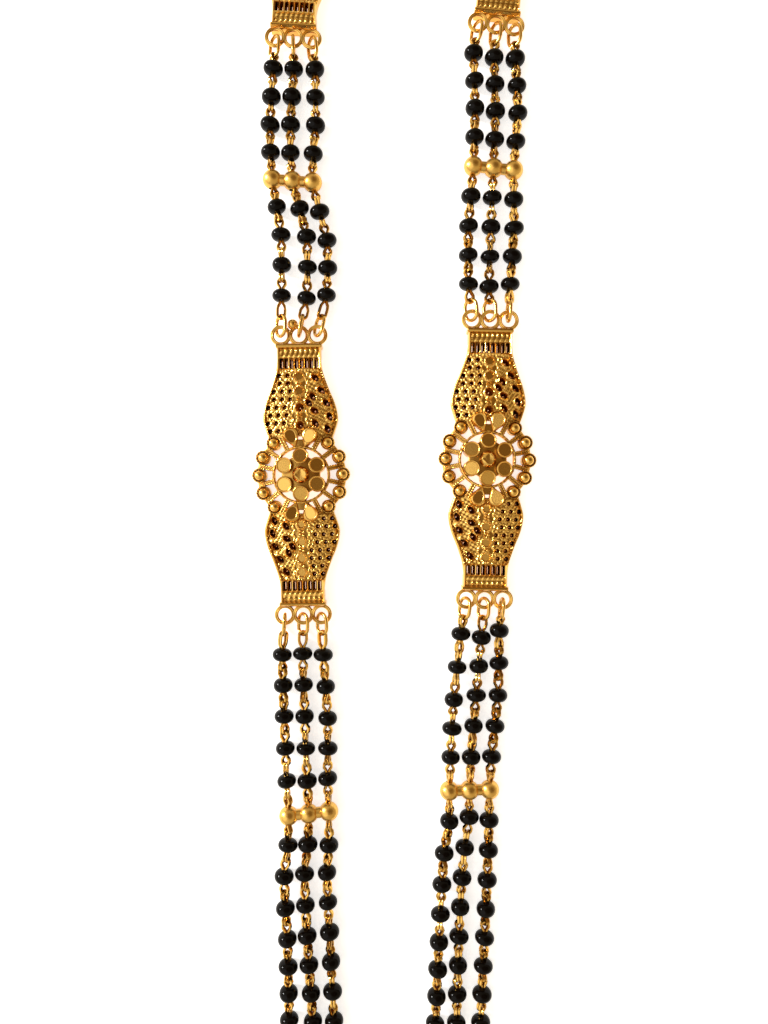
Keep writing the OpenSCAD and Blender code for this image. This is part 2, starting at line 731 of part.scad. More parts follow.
// A raised disc or drop with a fine rim round its flat face. It is rooted within the plate.
face_depth = edge_w / 2;
root_h = (hollow_h + crown_h - relief) / 2;
module boss(r, h) {
  difference() {
    cylinder(h = h, r = r);
    translate([0, 0, h - face_depth]) cylinder(h = h, r = r - edge_w);
  }
}
module petals() {
  rise = petal_h - root_h;
  round_places(petal_angles, petal_reach)
    translate([0, 0, petal_h])
      rotate([0, petal_tilt, 0]) translate([0, 0, -rise]) boss(petal_r, rise);
}
module raised_drops() {
  difference() {
    translate([0, 0, root_h]) linear_extrude(drop_h - root_h) teardrops(0);
    translate([0, 0, drop_h - face_depth]) linear_extrude(drop_h) teardrops(-edge_w);
  }
}
module boules() {
  round_places(boule_angles, boule_reach) {
    cylinder(h = collar_h, r = collar_r);
    translate([0, 0, collar_h]) sphere(boule_r);
  }
}
module plaque_body() {
  difference() {
    union() {
      pierced_plate();
      boules();
      both_halves() end_band();
    }
    linear_extrude(cut_h) openings();
  }
  both_halves() {
    eyes(eye_reach, eye_pitch, bar_reach - bar_l / 2);
    raised_drops();
  }
  petals();
  translate([0, 0, root_h]) boss(boss_r, boss_h - root_h);
}
// The extra ball on the left middle plaque, soldered to the edge of its upper middle eye
extra_ball_d = 1.5;
extra_ball_angle = 122;
extra_ball_reach = 0.57;
extra_ball_z = strand_z - 0.15;
module plaque(p) {
  color("#C9973B")
    translate([plaque_at(p)[0], plaque_at(p)[1], 0])
      rotate(plaque_turn(p)) {
        plaque_body();
        if (p == LEFT_MIDDLE)
          translate([0, eye_reach, extra_ball_z])
            rotate(extra_ball_angle)
              translate([eye_r + extra_ball_reach, 0, 0]) sphere(d = extra_ball_d);
      }
}

// The clasp: a plain closed bar across the strands, with three eyes at each end
module clasp() {
  half_w = clasp_reach - eye_hole_d / 2 - eye_wire / 2;
  color("#C9973B")
    translate([clasp_at[0], clasp_at[1], 0]) {
      translate([0, 0, strand_z])
        rotate([90, 0, 0])
          linear_extrude(clasp_l, center = true) {
            square([2 * half_w - clasp_d, clasp_d], center = true);
            for (end = [-1, 1]) translate([end * (half_w - clasp_d / 2), 0]) circle(d = clasp_d);
          }
      for (turn = [90, 270]) rotate(turn) eyes(clasp_reach, strand_pitch, half_w - eye_wire);
    }
}

// Every strand of every stretch, with its name
NAMED_STRANDS = [for (stretch = STRETCHES, k = [0 : len(STRANDS) - 1])
  [str(stretch[0], "_", STRANDS[k]), stretch[1][k]]];

// The loop's own middle is the origin
module in_loop() {
  translate([-loop_middle[0], -loop_middle[1], 0]) children();
}
for (p = [0 : len(PLAQUES) - 1])
  in_loop() plaque(p);
for (s = SPACERS)
  in_loop() spacer(s[1]);
for (s = NAMED_STRANDS)
  in_loop() chain(s[1]);
for (s = NAMED_STRANDS)
  in_loop() beads(s[1]);
for (r = RING_SETS)
  in_loop() rings(r);
in_loop() clasp();
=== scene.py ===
"""A three-strand black-bead mangalsutra lying flat, dressed round its CAD frame."""

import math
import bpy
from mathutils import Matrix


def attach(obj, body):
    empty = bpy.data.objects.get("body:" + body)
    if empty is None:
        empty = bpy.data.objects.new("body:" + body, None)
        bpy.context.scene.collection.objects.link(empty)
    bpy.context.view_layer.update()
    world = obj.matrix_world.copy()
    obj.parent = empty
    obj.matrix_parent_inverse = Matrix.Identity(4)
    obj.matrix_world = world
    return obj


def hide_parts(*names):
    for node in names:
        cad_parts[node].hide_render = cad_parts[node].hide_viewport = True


bl_info = {
    "name": "Mangalsutra",
    "version": (1, 0, 0),
    "blender": (4, 5, 0),
    "location": "3D View > Sidebar > Mangalsutra",
    "description": "Cast filigree plaques, link chain, glass beads and gold rings of a mangalsutra",
    "category": "Object",
}

import bmesh
import bpy
import numpy as np
from bpy.props import (FloatProperty, FloatVectorProperty, IntProperty, PointerProperty,
                       StringProperty)
from mathutils import Matrix, Vector

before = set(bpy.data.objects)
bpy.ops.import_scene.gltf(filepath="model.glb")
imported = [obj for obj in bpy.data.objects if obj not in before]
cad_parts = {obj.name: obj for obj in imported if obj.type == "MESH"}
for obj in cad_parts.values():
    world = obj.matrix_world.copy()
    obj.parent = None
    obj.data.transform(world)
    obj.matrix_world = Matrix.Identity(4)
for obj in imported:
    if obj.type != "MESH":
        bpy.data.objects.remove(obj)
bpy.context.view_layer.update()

MM = 0.001
STRANDS = [stretch + "_" + strand
           for stretch in ("left_top", "left_upper", "lower", "right_upper", "right_top")
           for strand in ("outer", "middle", "inner")]
PLAQUES = ("left_upper", "left_middle", "right_middle", "right_upper")
# In millimetres: the height of the strands' middle lines, the radius of a jump ring's wire, a
# spacer's space from ball to ball and its balls' diameter, and a bead's radius and length
STRAND_Z, JUMP_RING_R = 1.55, 0.275
BALL_PITCH, BALL_D = 3.15, 3.0
BEAD_R, BEAD_L = 1.5, 2.1


# Sizes and finishes


class PlaqueSizes(bpy.types.PropertyGroup):
    grid: FloatProperty(name="Grid", description="Space between the points of the cast surface",
                        default=0.125 * MM, unit="LENGTH")
    crown: FloatProperty(name="Crown", description="Height of the rims along the middle",
                         default=2.5 * MM, unit="LENGTH")
    relief: FloatProperty(name="Relief", description="Height of the raised rims over the fields",
                          default=0.3 * MM, unit="LENGTH")
    wire: FloatProperty(name="Twisted wire", description="Thickness of the twisted wires",
                        default=0.34 * MM, unit="LENGTH")
    petal_tilt: FloatProperty(name="Petal tilt", description="Outward tilt of the petals' faces",
                              default=math.radians(12), subtype="ANGLE")
    drop_tilt: FloatProperty(name="Drop tilt", description="Inward tilt of the teardrops' faces",
                             default=math.radians(12), subtype="ANGLE")
    disc_tilt: FloatProperty(name="Disc tilt", description="Tilt of the closed settings' discs",
                             default=math.radians(8), subtype="ANGLE")


class ChainSizes(bpy.types.PropertyGroup):
    wire: FloatProperty(name="Link wire", description="Thickness of a link's wire",
                        default=0.43 * MM, unit="LENGTH")
    width: FloatProperty(name="Loop width", description="Width of a link's open ends",
                         default=1.6 * MM, unit="LENGTH")
    sides: IntProperty(name="Sides", description="Sides of a link's wire", default=6, min=5)


class BeadSizes(bpy.types.PropertyGroup):
    sides: IntProperty(name="Sides", description="Points round a bead", default=24, min=12)
    uneven: FloatProperty(name="Unevenness", description="How much the beads differ in size",
                          default=0.035, subtype="FACTOR")


class Finishes(bpy.types.PropertyGroup):
    gold: StringProperty(name="Gold", description="Colour of the gold plating", default="#ECB960")
    # The deep gold is painted shade: the darker colour that ambient occlusion paints into hollows
    # and creases
    gold_painted_shade: StringProperty(name="Deep gold", description="Colour of the gold in its hollows",
                              default="#8A4E0E")
    glass: StringProperty(name="Glass", description="Colour of the bead glass", default="#0B0705")
    floor: StringProperty(name="Floor", description="Colour of the floor", default="#FFFFFF")


class StageSizes(bpy.types.PropertyGroup):
    lens: FloatProperty(name="Lens", description="Focal length on a frame 36 mm long", default=26.0)
    camera_h: FloatProperty(name="Camera height", description="Height of the lens over the floor",
                            default=117.1 * MM, unit="LENGTH")
    aim: FloatVectorProperty(name="Aim", description="The place that the camera looks down on",
                             size=2, default=(-4.25 * MM, -34.4 * MM), unit="LENGTH")


class MangalsutraSettings(bpy.types.PropertyGroup):
    plaque: PointerProperty(type=PlaqueSizes)
    chain: PointerProperty(type=ChainSizes)
    bead: PointerProperty(type=BeadSizes)
    finish: PointerProperty(type=Finishes)
    stage: PointerProperty(type=StageSizes)


def settings():
    return bpy.context.scene.mangalsutra


# Materials


def linear(hex_colour):
    """A hex colour in sRGB as linear RGBA."""
    parts = [int(hex_colour[n:n + 2], 16) / 255 for n in (1, 3, 5)]
    return [p / 12.92 if p <= 0.04045 else ((p + 0.055) / 1.055) ** 2.4 for p in parts] + [1.0]


def add(tree, kind, values=None, links=None, **choices):
    """Adds a node, sets its choices and its inputs' values, and links its inputs."""
    node = tree.nodes.new(kind)
    for name, value in choices.items():
        setattr(node, name, value)
    for name, value in (values or {}).items():
        node.inputs[name].default_value = value
    for name, source in (links or {}).items():
        tree.links.new(source, node.inputs[name])
    return node


def gold(tree, roughness, grain_mm, grain_depth, shade_reach_mm):
    """Gold-plated brass with painted shade: ambient occlusion paints its hollows and creases darker,
    and its skin has a cast grain.
    """
    finish = settings().finish
    place = add(tree, "ShaderNodeTexCoord")
    grain = add(tree, "ShaderNodeTexNoise",
                {"Scale": 1 / (grain_mm * MM), "Detail": 3.0, "Roughness": 0.6},
                {"Vector": place.outputs["Object"]})
    patch = add(tree, "ShaderNodeTexNoise", {"Scale": 1 / (3.0 * MM), "Detail": 2.0},
                {"Vector": place.outputs["Object"]})
    # Painted shade: the colour runs from deep gold to gold as the ambient occlusion opens up,
    # darkening hollows, creases and the joins between parts
    open_air = add(tree, "ShaderNodeAmbientOcclusion", {"Distance": shade_reach_mm * MM}, samples=8)
    shade = add(tree, "ShaderNodeMath", {1: 1.4}, {0: open_air.outputs["AO"]}, operation="POWER")
    tone = add(tree, "ShaderNodeValToRGB", links={"Fac": shade.outputs[0]})
    for point, place_on, colour in zip(tone.color_ramp.elements, (0.0, 0.55),
                                       (finish.gold_painted_shade, finish.gold)):
        point.position, point.color = place_on, linear(colour)
    value = add(tree, "ShaderNodeMapRange", {"To Min": 0.93, "To Max": 1.07},
                {"Value": patch.outputs["Fac"]})
    varied = add(tree, "ShaderNodeHueSaturation",
                 links={"Color": tone.outputs["Color"], "Value": value.outputs[0]})
    rough = add(tree, "ShaderNodeMapRange",
                {"To Min": roughness * 0.8, "To Max": roughness * 1.3},
                {"Value": grain.outputs["Fac"]})
    bump = add(tree, "ShaderNodeBump", {"Strength": 1.0, "Distance": grain_depth * MM},
               {"Height": grain.outputs["Fac"]})
    return add(tree, "ShaderNodeBsdfPrincipled", {"Metallic": 1.0},
               {"Base Color": varied.outputs["Color"], "Roughness": rough.outputs[0],
                "Normal": bump.outputs["Normal"]})


def glass(tree):
    """Opaque black glass, tumbled to a gloss, with a faint orange-peel skin."""
    place = add(tree, "ShaderNodeTexCoord")
    skin = add(tree, "ShaderNodeTexNoise", {"Scale": 1 / (0.8 * MM), "Detail": 2.0},
               {"Vector": place.outputs["Object"]})
    bump = add(tree, "ShaderNodeBump", {"Strength": 1.0, "Distance": 0.006 * MM},
               {"Height": skin.outputs["Fac"]})
    return add(tree, "ShaderNodeBsdfPrincipled",
               {"Base Color": linear(settings().finish.glass), "Roughness": 0.05, "IOR": 1.5,
                "Specular IOR Level": 0.1},
               {"Normal": bump.outputs["Normal"]})


def paper(tree):
    """Matt white paper on a photographer's light table, which takes the shadows away."""
    colour = linear(settings().finish.floor)
    return add(tree, "ShaderNodeBsdfPrincipled",
               {"Base Color": colour, "Roughness": 0.9, "Specular IOR Level": 0.1,
                "Emission Color": colour, "Emission Strength": 0.7})


# Each material's recipe and numbers. For gold: roughness, then the size of its grain, the depth
# of its grain and how far the painted shade in its hollows reaches, in millimetres.
MATERIALS = {"cast gold plate": (gold, 0.2, 0.12, 0.01, 0.8),
             "drawn gold wire": (gold, 0.16, 0.3, 0.004, 2.4),
             "satin gold": (gold, 0.3, 0.1, 0.012, 2.4),
             "black bead glass": (glass,),
             "white paper": (paper,)}


def material_for(name):
    """The material of that name, made the first time that it is asked for."""
    if name not in bpy.data.materials:
        material = bpy.data.materials.new(name)
        material.use_nodes = True
        tree = material.node_tree
        tree.nodes.clear()
        recipe, *numbers = MATERIALS[name]
        shader = recipe(tree, *numbers)
        add(tree, "ShaderNodeOutputMaterial", links={"Surface": shader.outputs[0]})
    return bpy.data.materials[name]


# Meshes

# Faces that meet at more than this keep a sharp edge
SHARP_DEGREES = 38


class Shell:
    """Points in millimetres and the faces between them, gathered piece by piece."""

    def __init__(self):
        self.points = []
        self.faces = []
        self.count = 0

    def add(self, points, faces, move=None):
        points = np.asarray(points, float)
        if move is not None:
            points = points @ np.array(move.to_3x3()).T + np.array(move.translation)
        self.points.append(points)
        for group in faces if isinstance(faces, tuple) else (faces,):
            self.faces.extend((np.asarray(group) + self.count).tolist())
        self.count += len(points)

    def mesh(self, name):
        mesh = bpy.data.meshes.new(name)
        mesh.from_pydata(np.concatenate(self.points) * MM, [], self.faces)
        mesh.validate()
        mesh.shade_smooth()
        mesh.set_sharp_from_angle(angle=math.radians(SHARP_DEGREES))
        return mesh


def unit(ways):
    """A direction, or rows of them, at a length of 1."""
    return ways / np.linalg.norm(ways, axis=-1, keepdims=True)


def place_in_scene(name, data):
    body = bpy.data.objects.new(name, data)
    bpy.context.scene.collection.objects.link(body)
    return body


def show(name, mesh, material, nodes):
    """Puts a mesh in the scene as a piece that rides on the necklace and stands for its nodes."""
    piece = place_in_scene(name, mesh)
    if not mesh.materials:
        mesh.materials.append(material_for(material))
    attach(piece, "root")
    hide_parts(*nodes)
    return piece


def around(sides):
    """Angles evenly round a circle."""
    return np.linspace(0, 2 * math.pi, sides, endpoint=False)


def fan(ring, tip):
    """Triangles from a ring of points to the point at its tip."""
    return np.stack([ring, np.roll(ring, -1), np.full(len(ring), tip)], -1)


def band(rows, columns, closed_rows=False):
    """Quads between rows of points, each row a closed ring of as many columns."""
    r = np.arange(rows if closed_rows else rows - 1)[:, None]
    c = np.arange(columns)[None, :]
    r2, c2 = (r + 1) % rows, (c + 1) % columns
    quads = np.stack([r * columns + c, r * columns + c2, r2 * columns + c2, r2 * columns + c], -1)
    return quads.reshape(-1, 4)


def tube(line, radius, sides, closed=False, twist=0.0, depth=0.0, level=(0.0, 0.0, 1.0)):
    """A round wire along a line of points that lies about square to its level. With a twist in
    radians a step and a depth, it is two strands wound round each other."""
    if closed:
        way = unit(np.roll(line, -1, 0) - np.roll(line, 1, 0))
    else:
        way = unit(np.gradient(line, axis=0))
    up = unit(level - way * (way @ level)[:, None])
    side = np.cross(way, up)
    angle = around(sides)[None, :]
    turn = twist * np.arange(len(line))[:, None]
    r = radius * (1 - depth + depth * np.cos(angle - turn) ** 2)
    points = (line[:, None, :] + (r * np.cos(angle))[..., None] * side[:, None, :]
              + (r * np.sin(angle))[..., None] * up[:, None, :]).reshape(-1, 3)
    faces = band(len(line), sides, closed_rows=closed)
    if closed:
        return points, faces
    last = (len(line) - 1) * sides
    caps = (np.arange(sides)[None, ::-1], np.arange(last, last + sides)[None, :])
    return points, (faces, *caps)


def lathe(profile, sides):
    """A turned form round Z from rows of radius and height, with a tip at either end."""
    rows = profile[1:-1]
    points = [[r * math.cos(a), r * math.sin(a), z] for r, z in rows for a in around(sides)]
    points += [[0, 0, profile[0][1]], [0, 0, profile[-1][1]]]
    ring, tip = np.arange(sides), len(rows) * sides
    return points, (band(len(rows), sides), fan(ring, tip)[:, [1, 0, 2]],
                    fan(ring + tip - sides, tip + 1))


def smooth_curve(rows, at):
    """A smooth curve through rows of place and value, read at an array of places."""
    rows = np.asarray(rows, float)
    before = np.roll(rows, 1, 0)
    before[0] = rows[0]
    after = np.roll(rows, -1, 0)
    after[-1] = rows[-1]
    slope = (after[:, 1] - before[:, 1]) / (after[:, 0] - before[:, 0])
    k = np.clip(np.searchsorted(rows[:, 0], at, "right") - 1, 0, len(rows) - 2)
    span = rows[k + 1, 0] - rows[k, 0]
    t = (at - rows[k, 0]) / span
    return (rows[k, 1] * (2 * t ** 3 - 3 * t ** 2 + 1) + slope[k] * span * (t ** 3 - 2 * t ** 2 + t)
            + rows[k + 1, 1] * (3 * t ** 2 - 2 * t ** 3) + slope[k + 1] * span * (t ** 3 - t ** 2))


def ridge(distance, width):
    """A raised line: 1 on it, and down to 0 about a width away."""
    return np.exp(-(distance / (0.6 * width)) ** 2)


# The plaque

# All in millimetres: R is a radius, W a width, L a length, H a height, and a reach is measured
# from the plaque's middle. The middle is at the origin and the length is along Y, and the lower
# half is the upper half turned half round.
EYE_REACH, EYE_PITCH = 21.8, 2.85
# The two wires round an eye's hole: radius of the circle, radius of the wire
EYE_WIRES = [(1.22, 0.2), (1.43, 0.2)]
BAR_REACH, BAR_L, BAR_HALF_W = 20.5, 0.7, 3.6
NECK_REACH, NECK_HALF_W, SLOT_COUNT, SLOT_W, SLOT_L = 18.1, 3.4, 8, 0.42, 1.4
# Each half is a vase from its waist to its neck. Its rows: share of its length, share of its
# half width at the belly.
WAIST_REACH, BELLY_HALF_W, RIM_W = 5.9, 5.85, 0.3
VASE_ROWS = [(0, 0.86), (0.08, 0.92), (0.22, 1), (0.34, 0.98), (0.47, 0.905),
             (0.59, 0.8), (0.72, 0.7), (0.85, 0.615), (1, 0.575)]
VASE_L = NECK_REACH - WAIST_REACH
SLOT_STEP = 2 * (NECK_HALF_W - RIM_W) / SLOT_COUNT
SLOT_MIDDLE = NECK_REACH - SLOT_L / 2 - SLOT_W / 4
# The plate is domed in front and hollow behind
DOME_R, HOLLOW_H, HOLLOW_HALF_W = 16.0, 1.3, 5.1
# Round holes in rows, a pitch from row to row and a step from hole to hole. The first row is a
# lead of pitches from the waist, a lip parts it from the rim, and every other row is set in.
HOLE_D, LATTICE_PITCH, LATTICE_STEP = 0.62, 1.23, 1.3
LATTICE_LEAD, LATTICE_LIP, LATTICE_SET_IN = 0.78, 0.04, 0.4
LEAF_L, LEAF_W, EDGE_W = 1.32, 0.74, 0.22
# How much narrower the small holes are at the back, and how far round each the back is drawn in
TAPER, TAPER_W = 0.93, 0.3
# Round settings: place along the half, radius. Flat discs close all of the lower half's, and the
# first few of the upper half's.
SETTINGS = [(WAIST_REACH + VASE_L * share, radius)
            for share, radius in ((0.765, 0.86), (0.58, 0.86), (0.373, 0.84), (0.148, 0.76))]
CLOSED = 2
# Leaves: share of the vase's length, share of its half width there, turn in degrees
LEAVES = [(0.1, 0.78, 24), (0.26, 0.78, 24), (0.43, 0.76, 46), (0.59, 0.72, 48),
          (0.17, 0.42, 38), (0.33, 0.4, 56), (0.43, 0.26, 40), (0.51, 0.4, 28),
          (0.75, 0.62, 42)]
# The ring in the middle, and the petals over the floor inside it
RING_R, RING_WIRE = 4.3, 0.42
PETAL_REACH, PETAL_R, PETAL_H, FLOOR_R = 2.95, 1.25, 2.78, 3.0
# The boss: its height, the radius of its foot and of its crest, the crest's middle, and the
# place of the crease across it
BOSS_H, BOSS_R, CREST_R, CREST_X, CREASE_X = 2.99, 1.3, 0.86, 0.08, -0.05
# Boules in collars, some degrees apart on a band round the ring, with spokes from ring to band
BOULE_REACH, BOULE_R, COLLAR_R, COLLAR_H, BOULE_STEP = 6.5, 0.86, 1.08, 1.45, 25
SPOKE_W, SPOKE_WIRE = 0.5, 0.21
BAND_R = BOULE_REACH + SPOKE_W
DROP_MIDDLE, DROP_TIP, DROP_R, DROP_H = (1.5, 6.15), (0.72, 4.3), 1.2, 2.9
# Where the petals, boss and drops begin inside the plate, the least thickness of the plate, and
# how far its front rounds over at an edge
ROOT_H, PLATE_H, EDGE_R = 1.2, 0.35, 0.1
# Half the width and length of the grid that the plate is cut from
GRID_HALF_W, GRID_HALF_L = 8.0, BAR_REACH + 0.3
# A distance for what is nowhere near
FAR = 9.0
# A ball's profile at a radius of 1, and the ball on one plaque
BALL = [(0, -1), *((math.sin(math.radians(a)), -math.cos(math.radians(a)))
                   for a in range(15, 166, 15)), (0, 1)]
BALL_PLAQUE, BALL_R, BALL_PLACE = "left_middle", 0.82, (-0.95, 23.5, 1.6)
# The two loops of points that close the boss's crest, either side of the crease across it
BOSS_FACES = [range(-7, 8), range(7, 22)]
PETAL_ANGLES = [30, 90, 150, 210, 270, 330]
BOULE_ANGLES = [hand + n * BOULE_STEP for hand in (0, 180) for n in (-2, -1, 0, 1, 2)]
SPOKE_ANGLES = [hand + (n - 2.5) * BOULE_STEP for hand in (0, 180) for n in range(6)]
UPPER_LOWER, LEFT_RIGHT = (1, -1), (1, -1)


def polar(r, degrees):
    return np.array([r * math.cos(math.radians(degrees)), r * math.sin(math.radians(degrees))])


def dome(x, crown):
    return crown - DOME_R + np.sqrt(DOME_R ** 2 - x ** 2)


def hollow(x):
    r = (HOLLOW_HALF_W ** 2 + HOLLOW_H ** 2) / (2 * HOLLOW_H)
    return np.maximum(0, HOLLOW_H - r + np.sqrt(r ** 2 - x ** 2))


def half_place(x, y):
    """1 on the upper half and -1 on the lower, and the place as if it were on the upper half."""
    flip = np.where(y < 0, -1.0, 1.0)
    return flip, x * flip, y * flip


def vase_half_w(y):
    return BELLY_HALF_W * smooth_curve(VASE_ROWS, np.clip((y - WAIST_REACH) / VASE_L, 0, 1))


def vase_depth(x, y):
    """How far inside the vase's outline a point is."""
    return np.minimum(vase_half_w(y) - np.abs(x), NECK_REACH - y)


def circles_distance(x, y, reach, angles, radius):
    """How far outside the nearest of a round of equal circles a point is."""
    middles = [polar(reach, angle) for angle in angles]
    return np.minimum.reduce([np.hypot(x - cx, y - cy) - radius for cx, cy in middles])


def boule_distance(x, y):
    return circles_distance(x, y, BOULE_REACH, BOULE_ANGLES, COLLAR_R)


def spoke_distance(x, y):
    """How far outside the nearest spoke a point is."""
    spoke = np.full_like(x, FAR)
    for angle in SPOKE_ANGLES:
        ux, uy = polar(1, angle)
        away = np.abs(x * uy - y * ux) - 1.5 * SPOKE_WIRE
        spoke = np.minimum(spoke, np.where(x * ux + y * uy > 0, away, FAR))
    return spoke


def slot_distance(x, y):
    """How far outside the nearest slot of the neck a point is."""
    u = np.abs((x / SLOT_STEP + SLOT_COUNT / 2) % 1 - 0.5) * SLOT_STEP - SLOT_W / 2
    u = np.where(np.abs(x) > SLOT_STEP * SLOT_COUNT / 2, FAR, u)
    return np.maximum(u, np.abs(y - SLOT_MIDDLE) - SLOT_L / 2)


def drop_distance(x, y):
    """How far outside the nearer teardrop a point is."""
    x = np.abs(x)
    a, b = np.array(DROP_MIDDLE), np.array(DROP_TIP)
    along = b - a
    t = np.clip(((x - a[0]) * along[0] + (y - a[1]) * along[1]) / (along @ along), 0, 1)
    return np.hypot(x - a[0] - t * along[0], y - a[1] - t * along[1]) - DROP_R * (1 - 0.93 * t)


def lattice_places():
    """The middles of the lattice's holes, rows from the waist up, each from the rim inwards."""
    inner = SETTINGS[0][1] + HOLE_D / 2 + EDGE_W
    places = []
    for n in range(1 + int((VASE_L - SLOT_L - HOLE_D) / LATTICE_PITCH - LATTICE_LEAD)):
        y = WAIST_REACH + LATTICE_PITCH * (n + LATTICE_LEAD)
        x = float(vase_half_w(np.array(y))) - RIM_W - LATTICE_LIP - HOLE_D / 2
        if n > 0 and n % 2 == 0:
            x -= LATTICE_SET_IN * LATTICE_STEP
        while x >= inner - 1e-9:
            if math.dist((x, y), DROP_MIDDLE) > DROP_R + HOLE_D:
                places.append((-x, y))
            x -= LATTICE_STEP
    return places


def leaf_distances(x, y):
    """For each leaf, its middle and how far outside it every point is."""
    half_l, half_w = LEAF_L / 2, LEAF_W / 2
    r = (half_l ** 2 + half_w ** 2) / (2 * half_w)
    for share, across, turn in LEAVES:
        cy = WAIST_REACH + VASE_L * share
        cx = across * float(vase_half_w(np.array(cy)))
        c, s = math.cos(math.radians(turn)), math.sin(math.radians(turn))
        u, v = (x - cx) * c + (y - cy) * s, (y - cy) * c - (x - cx) * s
        yield cx, cy, np.hypot(np.abs(u) + r - half_w, v) - r


def small_holes(flip, x, y):
    """For each small hole, its middle and how far outside it every point of a half is."""
    for cx, cy in lattice_places():
        yield cx, cy, np.hypot(x - cx, y - cy) - HOLE_D / 2
    for cy, radius in SETTINGS[CLOSED:]:
        yield 0, cy, np.where(flip < 0, FAR, np.hypot(x, y - cy) - radius + EDGE_W)
    slot_x = (np.floor(x / SLOT_STEP + SLOT_COUNT / 2) + 0.5 - SLOT_COUNT / 2) * SLOT_STEP
    slot_y = SLOT_MIDDLE + np.clip(y - SLOT_MIDDLE, (SLOT_W - SLOT_L) / 2, (SLOT_L - SLOT_W) / 2)
    yield slot_x, slot_y, slot_distance(x, y)
    yield from leaf_distances(x, y)


def drafted(x, y):
    """Where the front's points lie on the back: the small holes taper, as cast holes do."""
    flip, hx, hy = half_place(x, y)
    near = np.full_like(x, TAPER_W)
    middle_x, middle_y = hx, hy
    for cx, cy, away in small_holes(flip, hx, hy):
        closer = away < near
        near = np.where(closer, away, near)
        middle_x, middle_y = np.where(closer, cx, middle_x), np.where(closer, cy, middle_y)
    keep = 1 - TAPER * np.clip(1 - near / TAPER_W, 0, 1) ** 2
    return flip * (middle_x + (hx - middle_x) * keep), flip * (middle_y + (hy - middle_y) * keep)


def metal_depth(x, y):
    """How far inside the plate's metal each point is: within its outline and in no opening."""
    flip, hx, hy = half_place(x, y)
    r = np.hypot(x, y)
    boule = boule_distance(x, y)
    petal = circles_distance(x, y, PETAL_REACH, PETAL_ANGLES, PETAL_R)
    neck = np.minimum(NECK_HALF_W - np.abs(hx), BAR_REACH - 0.1 - hy)
    neck = np.where(hy > WAIST_REACH + VASE_L / 2, neck, -FAR)
    bar = np.minimum(BAR_HALF_W - np.abs(hx), BAR_L / 2 - np.abs(hy - BAR_REACH + BAR_L / 2))
    outline = np.maximum.reduce([BAND_R - r, vase_depth(hx, hy), neck, bar, -boule])
    ring_gap = np.maximum.reduce([r - RING_R + RING_WIRE / 2, FLOOR_R - r, -petal])
    stem = np.maximum(np.abs(hx) - DROP_TIP[0] - SPOKE_W / 2, np.abs(hy - RING_R) - DROP_R)
    outer_gap = np.maximum.reduce([
        r - BAND_R + 2 * SPOKE_W, RING_R + RING_WIRE / 2 - r, -boule, -spoke_distance(x, y),
        EDGE_W / 2 - drop_distance(hx, hy), -stem])
    holes = [away for _, _, away in small_holes(flip, hx, hy)]
    return np.minimum.reduce([outline, ring_gap, outer_gap, *holes])


def wave(place, pitch):
    return np.cos(2 * math.pi * place / pitch)


def lattice_beading(x, y):
    """How far outside the nearest hole of the lattice a point is, and the beading round it."""
    lattice, beading = np.full_like(x, FAR), np.zeros_like(x)
    for n, (cx, cy) in enumerate(lattice_places()):
        away = np.hypot(x - cx, y - cy) - HOLE_D / 2
        grains = 0.6 + 0.4 * np.cos(7 * np.arctan2(y - cy, x - cx) + n)
        nearer = away < lattice
        beading = np.where(nearer, ridge(away - 0.26, 0.26) * grains, beading)
        lattice = np.where(nearer, away, lattice)
    return lattice, beading


def field_relief(height, flip, x, y, flat, sizes):
    """The vase's front: its rim, the rims of its leaves and settings, and the fine relief."""
    relief = sizes.relief / MM
    vase, drop = vase_depth(x, y), drop_distance(x, y)
    leaf = np.minimum.reduce([away for _, _, away in leaf_distances(x, y)])
    lattice, beading = lattice_beading(x, y)
    above = y > WAIST_REACH
    rim = np.clip((RIM_W + 0.05 - vase) / 0.1 + 0.5, 0, 1) * (vase > -0.3) * above
    height = height + relief * rim
    height -= 0.1 * ridge(vase - RIM_W - 0.2, 0.16) * above
    height += relief * 0.8 * ridge(leaf - 0.14, 0.2)
    field = (y > WAIST_REACH + 0.3) & (y < NECK_REACH - SLOT_L - 0.5) & (vase > RIM_W + 0.1)
    left = field & (x < -SETTINGS[0][1] - 0.3) & (drop > 0.2)
    height += left * 0.16 * beading
    # Crenellated rims round the settings, and the discs that close some of them
    away = np.full_like(x, FAR)
    for n, (cy, radius) in enumerate(SETTINGS):
        rho = np.hypot(x, y - cy)
        crenel = 0.75 + 0.25 * np.cos(16 * np.arctan2(y - cy, x))
        height += 0.26 * crenel * ridge(rho - radius + EDGE_W / 2, 0.22)
        closed = ((flip < 0) | (n < CLOSED)) & (rho < radius - EDGE_W)
        face = flat - 0.06 - math.tan(sizes.disc_tilt) * (y - cy)
        height = np.where(closed, face, height)
        away = np.minimum(away, rho - radius)
    # Beaded wires down either side of the settings, and two that cross between them
    sway = 0.13 * np.sin(2 * math.pi * y / 1.27)
    cross = 0.36 * np.sin(2 * math.pi * (y - WAIST_REACH) / 0.95)
    wires = ridge(np.abs(x) - 1.15 - sway, 0.17) * (0.75 + 0.25 * wave(y, 0.42))
    crossing = np.maximum(ridge(x - cross, 0.16), ridge(x + cross, 0.16))
    wires = np.maximum(wires, np.where(away > 0, crossing, 0))
    column = field & (np.abs(x) < 1.6) & (drop > 0.1) & (away > -0.05)
    height += column * 0.2 * wires
    # Stipple on the open ground, and a row of granules under the neck
    open_ground = field & (np.abs(x) > 1.3) & (leaf > 0.26) & (lattice > 0.4)
    height += open_ground * 0.09 * wave(x + 0.3 * y, 0.84) * wave(y - 0.2 * x, 0.76)
    granules = ridge(y - NECK_REACH + SLOT_L + 0.42, 0.26) * (0.55 + 0.45 * wave(x, 0.5))
    return height + 0.16 * granules * (np.abs(x) < NECK_HALF_W)


